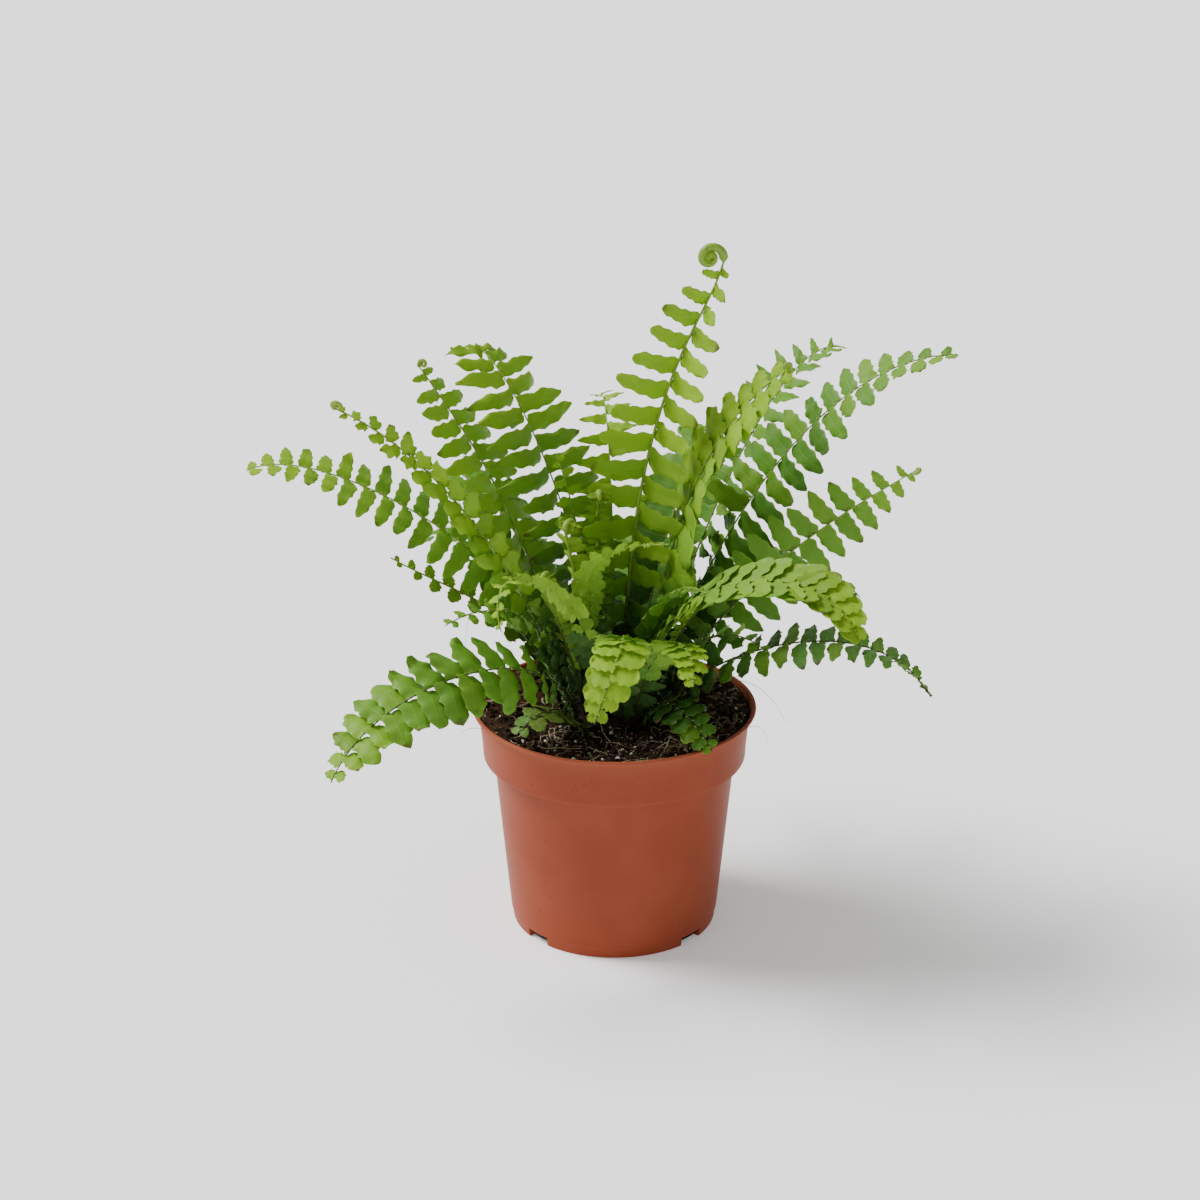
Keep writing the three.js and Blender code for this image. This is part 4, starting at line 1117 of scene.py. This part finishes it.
def bent_leaflet(stance, outline, width, seed, curl):
    """The points of one leaflet in metres, and its blade facts."""
    x, y, z = LEAFLET_POINTS[outline].T
    u = LEAFLET_BLADES[outline][:, 0]
    length, number = stance["length"], stance["number"] + seed
    along, up, reach = stance["along"], stance["up"], stance["reach"]
    perpendicular = unit(along - reach * (along @ reach))
    across = unit(along + perpendicular)
    twist = math.radians(varied(TWIST_DEGREES, number, 3) * curl)
    across = across * math.cos(twist) + up * math.sin(twist)
    edge = np.abs(u)
    teeth = np.sin(x * RAGGED_PACE + 5 * chance(number, 4) + np.sign(u)) * (x < 0.95)
    ragged = 1 + RAGGED * edge * teeth
    sweep = varied(SWEEP, number, 5) * length * (1.6 if outline == "tailed" else 1)
    cup = varied(CUP, number, 6) * width * 0.5 * curl
    wave = varied(WAVE, number, 7) * min(1, length / 14) * curl
    phase = math.tau * chance(number, 8)
    turns = math.tau * x * varied(WAVES, number, 9)
    ripples = wave * edge ** 1.5 * np.sin(turns + phase + 1.3 * np.sign(u))
    droop = (chance(number, 10) - 0.3) * DROOP * length * curl
    tail = TAIL_DROP * length * (x > TAIL_START) * (x - TAIL_START) if outline == "tailed" else 0
    lift = (
        -LEAFLET_SAG * length * x * x
        - droop * x ** 4
        - tail
        - cup * u * u * np.sin(math.pi * np.clip(0.15 + 0.85 * x, 0, 1)) ** 0.5
        - MIDRIB_SINK * width * (1 - edge) ** 2 * (x < 0.9)
        + ripples
        + z * BLADE_THICKNESS * (1 - THIN_EDGE * edge)
    )
    points = (
        stance["middle"]
        + np.outer(x * length, reach)
        + np.outer(sweep * x * x, along)
        + np.outer(y * width * ragged, across)
        + np.outer(lift, up)
    )
    blade = np.column_stack([u, x, (z < 0).astype(float)])
    return points * MM, blade


hair = modelled_scale()
bpy.ops.object.select_all(action="DESELECT")
bpy.ops.mesh.primitive_ico_sphere_add(subdivisions=1, radius=0.5)
bead = bpy.context.object
bead_points = fact_of(bead)


# How many hairs, their lengths and width in mm, and how far they stand out, from 0 to 1.
STALK_HAIRS = (26, (0.8, 2.0), 0.3, 0.5)
COIL_HAIRS = (26, (0.5, 1.3), 0.16, 1.0)
RIB_HAIRS = (30, (0.5, 1.0), 0.14, 1.0)


def hairs_on(frames, radii, kind, rng):
    """Fine hairs or scales round a stalk or coil, each leaning the way the stalk grows."""
    count, lengths, width, spread = kind
    made = []
    for _ in range(count):
        number = rng.randrange(len(frames))
        at, along, side, face = frames[number]
        angle = rng.uniform(0, math.tau)
        out = side * math.cos(angle) + face * math.sin(angle)
        start = at + out * radii[number] * 0.8 + along * rng.uniform(-1, 1)
        lean = math.radians(rng.uniform(20, 20 + 70 * spread))
        made.append(laid_scale(start, out, along, rng.uniform(*lengths), width, lean))
    return made


def set_leaflets(frond, ribs, placed):
    """The stances of a frond's two rows of leaflets, clear of all that is placed.

    The rows are set in turn: one row's notches are a little ahead of the other's."""
    rib = rib_frames(frond)
    shares = notch_shares(frond)
    notches = []
    for number, share in enumerate(shares):
        following = shares[min(number + 1, len(shares) - 1)]
        before = shares[max(number - 1, 0)]
        skew = 0 if number in (0, frond["pairs"]) else (following - before) * NOTCH_SKEW
        notches.append((frame_at(rib, share - skew), frame_at(rib, share + skew)))
    stances = []
    for number in range(1, len(notches)):
        x = (number - 0.5) / frond["pairs"]
        for column, sign in ((0, 1), (1, -1)):
            lower, upper = notches[number - 1][column], notches[number][column]
            stances.append(clear_stance(frond, 2 * number + column, sign, lower, upper, x, ribs, placed))
    return stances


# The small old leaflets that stand on the stalk, below the blade: mm, degrees and shares. They are
# formed like leaflets at BASAL_X of the blade, and their numbers start at BASAL_FIRST.
BASAL_PITCH = 2.7
BASAL_LENGTHS = (9.5, 5.0)
BASAL_TRIMS = (1, 0.75, 0.5, 0.35)
BASAL_EASE = 0.4
BASAL_X = 0.25
BASAL_FIRST = 200
BASAL_CLEAR_FOOT = 0.07
BASAL_FILL = 1.5
BASAL_CURL = 1.3
BASAL_BENDS = 60


def basal_stances(frond, rib, ribs, placed):
    """The small old leaflets down on the stalk; one that finds no room is left out."""
    bare = frond["bare"]
    count = int(rib[1] * (bare - BASAL_CLEAR_FOOT) / BASAL_PITCH)
    stances = []
    for number in range(count):
        share = bare - (number + 1) * BASAL_PITCH / rib[1]
        lower, upper = frame_at(rib, share), frame_at(rib, share + BASAL_PITCH / rib[1])
        for column, sign in ((0, 1), (1, -1)):
            order = 2 * number + column
            bend = (chance(order, 15) - 0.4) * BASAL_BENDS
            for trim in BASAL_TRIMS:
                size = trim * between(BASAL_LENGTHS, number / count) / leaflet_length(frond, BASAL_X)
                stance = leaflet_stance(
                    frond, BASAL_FIRST + order, sign, lower, upper, BASAL_X, bend, size
                )
                probe = leaflet_probe(stance, False, frond["name"])
                if is_clear(probe, ribs, placed, BASAL_EASE):
                    placed.append(probe)
                    stances.append(dict(stance, basal=True))
                    break
    return stances


# Greens, from 0 for old to 1 for young: a frond's tone, and what its leaflets add to it.
BASAL_TONE = (0.2, 0.3)
TIP_TONE = 0.34
TONE_SPREAD = 0.12
RIB_TONE = 0.3
# The knobs at the leaflets' feet: sizes and places in mm.
KNOB_SIZE = (0.75, 0.5, 0.5)
KNOB_UP = 0.42
KNOB_OUT = 0.5
KNOB_GROWTH = (0.95, 0, 0)


def painted(piece, material):
    piece.data.materials.append(material)
    return piece


def grown_leaflets(frond, stances, seed):
    """A frond's leaflets, and the small pale knobs by which they hold to the rib."""
    places, blades, growths, knobs = [], [], [], []
    for stance in stances:
        x, number = stance["x"], stance["number"]
        if stance.get("basal"):
            outline, fill, curl = "round", BASAL_FILL, BASAL_CURL
            young = BASAL_TONE[0] + BASAL_TONE[1] * frond["tone"]
        else:
            outline, fill, curl = frond["shape"], between(frond["fill"], x), 1
            young = frond["tone"] + TIP_TONE * x * x
            knob = stance["middle"] + stance["up"] * KNOB_UP + stance["reach"] * KNOB_OUT
            knobs.append((knob + bead_points * KNOB_SIZE) * MM)
        widest = frond.get("widest", WIDEST[frond["shape"]])
        width = min(stance["pitch"] * fill, stance["length"] * widest)
        points, blade = bent_leaflet(stance, outline, width, seed, frond["curl"] * curl)
        young = min(1, max(0, young + TONE_SPREAD * (chance(number + seed, 11) - 0.5)))
        places.append(points)
        blades.append(blade)
        growths.append((chance(number + seed, 12), young, frond["rusty"]))
    leaflets = copies(frond["name"] + "_leaflets", LEAFLETS[frond["shape"]], places, growths, blades)
    beads = copies(frond["name"] + "_beads", bead, knobs, [KNOB_GROWTH] * len(knobs))
    return [painted(leaflets, leaf_green), painted(beads, rib_bead)]


# Radii in mm, and the steps from a stalk's root to its tip.
STALK_RADIUS = 0.8
STALK_TAPER = 0.25
STATIONS = 40
RIB_RADIUS = 0.45
TIP_RADIUS = 0.24


def stalk_radius(frond, step):
    """The radius in mm at a step from the root to the tip: first the even stalk, then the finer rib."""
    if not frond["pairs"]:
        return STALK_RADIUS * (1 - STALK_TAPER * step / (STATIONS + 1))
    share = max(0, (step - 1) / STATIONS)
    if share < frond["bare"]:
        return STALK_RADIUS
    grown = (share - frond["bare"]) / (1 - frond["bare"])
    return (RIB_RADIUS + (TIP_RADIUS - RIB_RADIUS) * grown) * frond["stout"]


def grown_stalk(frond, rib, winding, seed):
    """The stalk, rib and coil as one strand, with its frames and radii."""
    start = frame_at(rib, 0)
    frames = [(start[0] - start[1] * ROOT_DEPTH, *start[1:])]
    frames += [frame_at(rib, step / STATIONS) for step in range(STATIONS + 1)]
    radii = [stalk_radius(frond, step) for step in range(len(frames))]
    thick = frond.get("thick", 0.07 * frond["coil"] + 0.8)
    frames += winding
    radii += [thick * (1 - COIL_TAPER * step / COIL_STEPS) for step in range(len(winding))]
    grown = np.array([min(1, step / (STATIONS + 1)) for step in range(len(frames))])
    young = np.minimum(1, frond["tone"] + RIB_TONE * grown)
    growth = np.column_stack([np.zeros(len(frames)) + chance(seed, 13), young, grown])
    stalk = strand(frond["name"] + "_rib", [frame[0] for frame in frames], radii, 2, growth)
    return painted(stalk, stalk_green), frames, radii


# Folded leaflets: sizes in mm, for a crozier over its coil's radius, and the least bend in degrees.
COIL_LEAFLET = 2.9
COIL_FOLD = 45
CROZIER_LEAFLET = 1.5
CROZIER_FOLD = 20
FOLDED_LENGTH = 1.7
FOLDED_WIDTH = 0.9
FOLDED_CURL = 0.3


def folded_leaflets(frond, frames, size, least_bend, seed):
    """Pairs of tiny leaflets along a coil or a crozier, folded to its inner side by least_bend or more."""
    places, blades, growths = [], [], []
    for step, (at, along, side, face) in enumerate(frames):
        left = size * (1.0 - 0.5 * step / len(frames))
        for sign in (1, -1):
            bend = math.radians(least_bend + 45 * chance(step + seed, 16))
            reach = sign * side * math.cos(bend) + face * math.sin(bend)
            up = face * math.cos(bend) - sign * side * math.sin(bend)
            middle = at + sign * side * 0.2
            stance = dict(
                middle=middle, along=along, up=up, reach=reach, length=left * FOLDED_LENGTH, number=step
            )
            points, blade = bent_leaflet(stance, "round", left * FOLDED_WIDTH, seed + step, FOLDED_CURL)
            places.append(points)
            blades.append(blade)
            growths.append((chance(step + seed, 14), min(1, frond["tone"] + RIB_TONE), 0))
    folded = copies(frond["name"] + "_coil", LEAFLETS["round"], places, growths, blades)
    return painted(folded, leaf_green)


def grown_hairs(frond, frames, radii, winding, rng):
    """Scales low on the stalk, and finer hairs on the coil and along a frond's rib."""
    leafy = frond["pairs"] > 0
    last = 2 + max(3, int((STATIONS + 1) * frond["bare"])) if leafy else 30
    fuzz = hairs_on(frames[2:last], radii[2:last], STALK_HAIRS, rng)
    if winding:
        fuzz += hairs_on(winding, radii[-COIL_STEPS:], COIL_HAIRS, rng)
    if leafy:
        fuzz += hairs_on(frames[8:STATIONS + 2], radii[8:STATIONS + 2], RIB_HAIRS, rng)
    hairs = copies(frond["name"] + "_hairs", hair, fuzz, [(rng.random(), 0, 0) for _ in fuzz])
    return painted(hairs, papery)


def grown_shoot(frond, ribs, placed):
    """One frond or young shoot, with its stalk, rib, leaflets, coil and hairs, as one piece."""
    rib = rib_frames(frond)
    seed = sum(ord(letter) for letter in frond["name"]) % 97
    winding = coil_frames(frond, frame_at(rib, 1), COIL_STEPS) if frond["coil"] else []
    parts = []
    if frond["pairs"]:
        parts += grown_leaflets(frond, frond["stances"] + basal_stances(frond, rib, ribs, placed), seed)
    stalk, frames, radii = grown_stalk(frond, rib, winding, seed)
    parts.append(stalk)
    if not frond["pairs"]:
        top = [frame_at(rib, share) for share in np.linspace(0.4, 1, 14)]
        size = CROZIER_LEAFLET * frond["coil"]
        parts.append(folded_leaflets(frond, top + winding[1:COIL_STEPS - 4], size, CROZIER_FOLD, seed))
    elif frond["coil"] > OPEN_COIL:
        parts.append(folded_leaflets(frond, winding[5:COIL_STEPS - 3], COIL_LEAFLET, COIL_FOLD, seed))
    parts.append(grown_hairs(frond, frames, radii, winding, random.Random(seed)))
    piece = joined(frond["name"] + "_grown", parts)
    bpy.ops.object.shade_smooth_by_angle(angle=math.radians(55))
    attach(piece, "root")
    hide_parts(frond["name"])
    return piece


leaf_green, place, shader = finish("leaf_green", IOR=1.42, Specular_IOR_Level=0.3)
u, v, under = place.fact("blade")
tint, young, rust = place.fact("growth")
across, deep, high = place.parts()
# Partly real, partly painted shade: leaves low in the plant's middle are painted a darker, deeper green,
# as old leaves are, and darker still for the shade there. Their lighter marks fade, and less light shines
# through them.
old_shaded_core = (across * across + deep * deep).maths("SQRT").within(0.062, 0.022) * high.within(0.175, 0.125)
edge = u.maths("ABSOLUTE")
veins = ((v * 13 - edge * 3.2) * math.tau).maths("SINE").within(0.55, 1.0)
midrib = edge.within(0.10, 0.02)
patches = place.noise(210, 3)
# darker green in the plant's middle: partly older leaves, partly painted shade
green = (young - old_shaded_core * 0.28).ramp(
    (0.0, (0.010, 0.034, 0.006)), (0.3, (0.036, 0.110, 0.014)), (0.5, (0.074, 0.200, 0.023)),
    (0.75, (0.155, 0.335, 0.028)), (1.0, (0.32, 0.53, 0.020)),
)
green = green.tinted(
    ((0.004, 0.020, 0.003), patches.within(0.5, 0.7) * 0.22 * (1 - young * 0.6)),
    ((0.30, 0.45, 0.03), edge.within(0.72, 1.0) * 0.22 * (1 - old_shaded_core)),
    ((0.28, 0.42, 0.05), (midrib * 0.16 + veins * 0.08) * (1 - under * 0.4) * (1 - old_shaded_core)),
    ((0.16, 0.30, 0.05), under * 0.30 * (1 - old_shaded_core)),
    ((0.26, 0.40, 0.01), tint.within(0.72, 1.0) * 0.25 * (1 - old_shaded_core)),
    ((0.012, 0.055, 0.004), tint.within(0.32, 0.0) * 0.35),
    ((0.17, 0.14, 0.03), rust * (0.4 + tint * 0.6)),
    ((0.10, 0.05, 0.015), v.within(0.86, 1.0) * tint.within(0.45, 0.25) * 0.8),
)
height = veins * 0.35 + (1 - midrib) * 0.6 + patches * 0.35
gloss = 0.42 + patches * 0.14 + under * 0.15
feed(shader, Base_Color=green, Roughness=gloss, Normal=height.bump(0.00016, 0.7))
surface = Signal(place.tree, shader.outputs[0])
out = shader.outputs[0].links[0].to_socket
glow = place.node("ShaderNodeBsdfTranslucent", {}, {"Color": (0.34, 0.60, 0.02, 1)})
# less light shines through the leaves in the plant's middle: painted shade
shone = (0.05 + young * 0.30) * (1 - old_shaded_core * 0.85)
put(place.node("ShaderNodeMixShader", {}, {0: shone, 1: surface, 2: glow}), out)

stalk_green, place, shader = finish("stalk_green", IOR=1.42, Specular_IOR_Level=0.35)
tint, young, along_rib = place.fact("growth")
streak = place.stretched(1, 1, 0.2).noise(900, 2)
# Painted shade: stalks are painted dark green low in the plant, where its shade falls.
shaded_stalk_foot = place.parts()[2].within(0.170, 0.125)
rib_colour = young.ramp((0.3, (0.06, 0.13, 0.012)), (0.7, (0.15, 0.25, 0.02)), (1.0, (0.20, 0.33, 0.03)))
rib_colour = rib_colour.tinted(
    # painted shade low on the stalks
    ((0.022, 0.036, 0.006), shaded_stalk_foot * 0.9),
    ((0.030, 0.017, 0.007), along_rib.within(0.32, 0.10) * 0.9),
    ((0.07, 0.04, 0.015), streak.within(0.5, 0.7) * 0.35),
)
feed(shader, Base_Color=rib_colour, Roughness=0.34 + streak * 0.2, Normal=streak.bump(0.0001, 0.5))
rib_bead = finish("rib_bead", Base_Color=(0.34, 0.44, 0.10, 1), Roughness=0.25, Specular_IOR_Level=0.6)[0]

SHOOTS = FRONDS + CROZIERS
probes = [rib_probe(frond, rib_frames(frond)) for frond in SHOOTS]
placed_leaflets = []
for frond in FRONDS:
    frond["stances"] = set_leaflets(frond, probes, placed_leaflets)
SLOTS = {
    "frond_dark": ("frond_tall_dark", "frond_right_long", "frond_inner_left", "frond_inner_right",
                   "frond_inner_front", "frond_inner_middle", "frond_back_left_low"),
    "frond_light": ("frond_tall_light", "frond_back_light", "frond_right_young", "frond_front_right"),
    "frond_yellow": ("frond_front_centre", "frond_front_low", "frond_front_left", "frond_front_arch",
                     "crozier_left", "crozier_low", "crozier_right"),
}
for shoot in SHOOTS:
    grown = grown_shoot(shoot, probes, placed_leaflets)
    next((slot for slot, names in SLOTS.items() if shoot["name"] in names), "frond_mid")
for shape in (tongue, hair, bead, *LEAFLETS.values()):
    bpy.data.objects.remove(shape)

# ---------------------------------------------------------------------------------------------
# The runners: bare threads that the crown sends out, over the rim on the right and down from the
# thin frond on the left, and loose root ends at the pot's rim.

RUNNERS = (
    # points in mm, thickest radius
    (((17, 2, 96), (30, -4, 106), (46, -10, 113), (58, -16, 113), (66, -20, 107), (71, -22, 99)), 0.22),
    (((-50, 3, 146.5), (-56, 2, 145), (-60, 0, 139), (-62, -2, 131), (-62.5, -3, 122)), 0.13),
    (((-48, -22, 94), (-56, -24, 97), (-61, -26, 97.5), (-65, -28, 95)), 0.14),
    (((50, -22, 94), (57, -24, 98), (61.5, -25, 96.5), (63.5, -27, 92)), 0.14),
)


def smooth_line(points, steps):
    """Points on a smooth line through the given ones."""
    points = [np.array(point, float) for point in points]
    points = [2 * points[0] - points[1], *points, 2 * points[-1] - points[-2]]
    line = []
    for a, b, c, d in zip(points, points[1:], points[2:], points[3:]):
        for step in range(steps):
            t = step / steps
            line.append(0.5 * (2 * b + (c - a) * t + (2 * a - 5 * b + 4 * c - d) * t * t
                               + (3 * b - a - 3 * c + d) * t ** 3))
    line.append(points[-2])
    return line


threads = []
for points, thick in RUNNERS:
    line = smooth_line(points, 5)
    radii = [thick * (1 - 0.7 * step / len(line)) for step in range(len(line))]
    threads.append(strand("runner", line, radii, 0))
runners = joined("runners", threads)
bpy.ops.object.shade_smooth()
wiry, place, shader = finish("wiry_runner", Roughness=0.6)
feed(shader, Base_Color=place.noise(110, 3).ramp((0.3, (0.06, 0.04, 0.02)), (0.7, (0.28, 0.22, 0.12))))
runners.data.materials.append(wiry)
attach(runners, "root")

# ---------------------------------------------------------------------------------------------
# The stage: a plain white floor that glows a little, a pale room, and a soft sun from the left.

bpy.ops.object.select_all(action="DESELECT")
bpy.ops.mesh.primitive_plane_add(size=40, location=(0, 0, 0))
floor = bpy.context.object
floor.name = "floor"
pale_floor, place, shader = finish("pale_floor", Roughness=0.7, Specular_IOR_Level=0.1)
feed(shader, Base_Color=(0.94, 0.94, 0.94, 1), Emission_Color=(1, 1, 1, 1), Emission_Strength=0.2)
floor.data.materials.append(pale_floor)

world = bpy.data.worlds.new("pale_room")
bpy.context.scene.world = world
world.use_nodes = True
world.node_tree.nodes["Background"].inputs["Color"].default_value = (1, 1, 1, 1)
world.node_tree.nodes["Background"].inputs["Strength"].default_value = 0.52
SUN_FROM = (-0.80, 0.22, 0.95)
bpy.ops.object.light_add(type="SUN", location=(-1, -1, 2))
sun = bpy.context.object
sun.name = "soft_sun"
sun.data.energy = 5.6
sun.data.angle = math.radians(28)
sun.rotation_euler = (-Vector(SUN_FROM)).to_track_quat("-Z", "Y").to_euler()
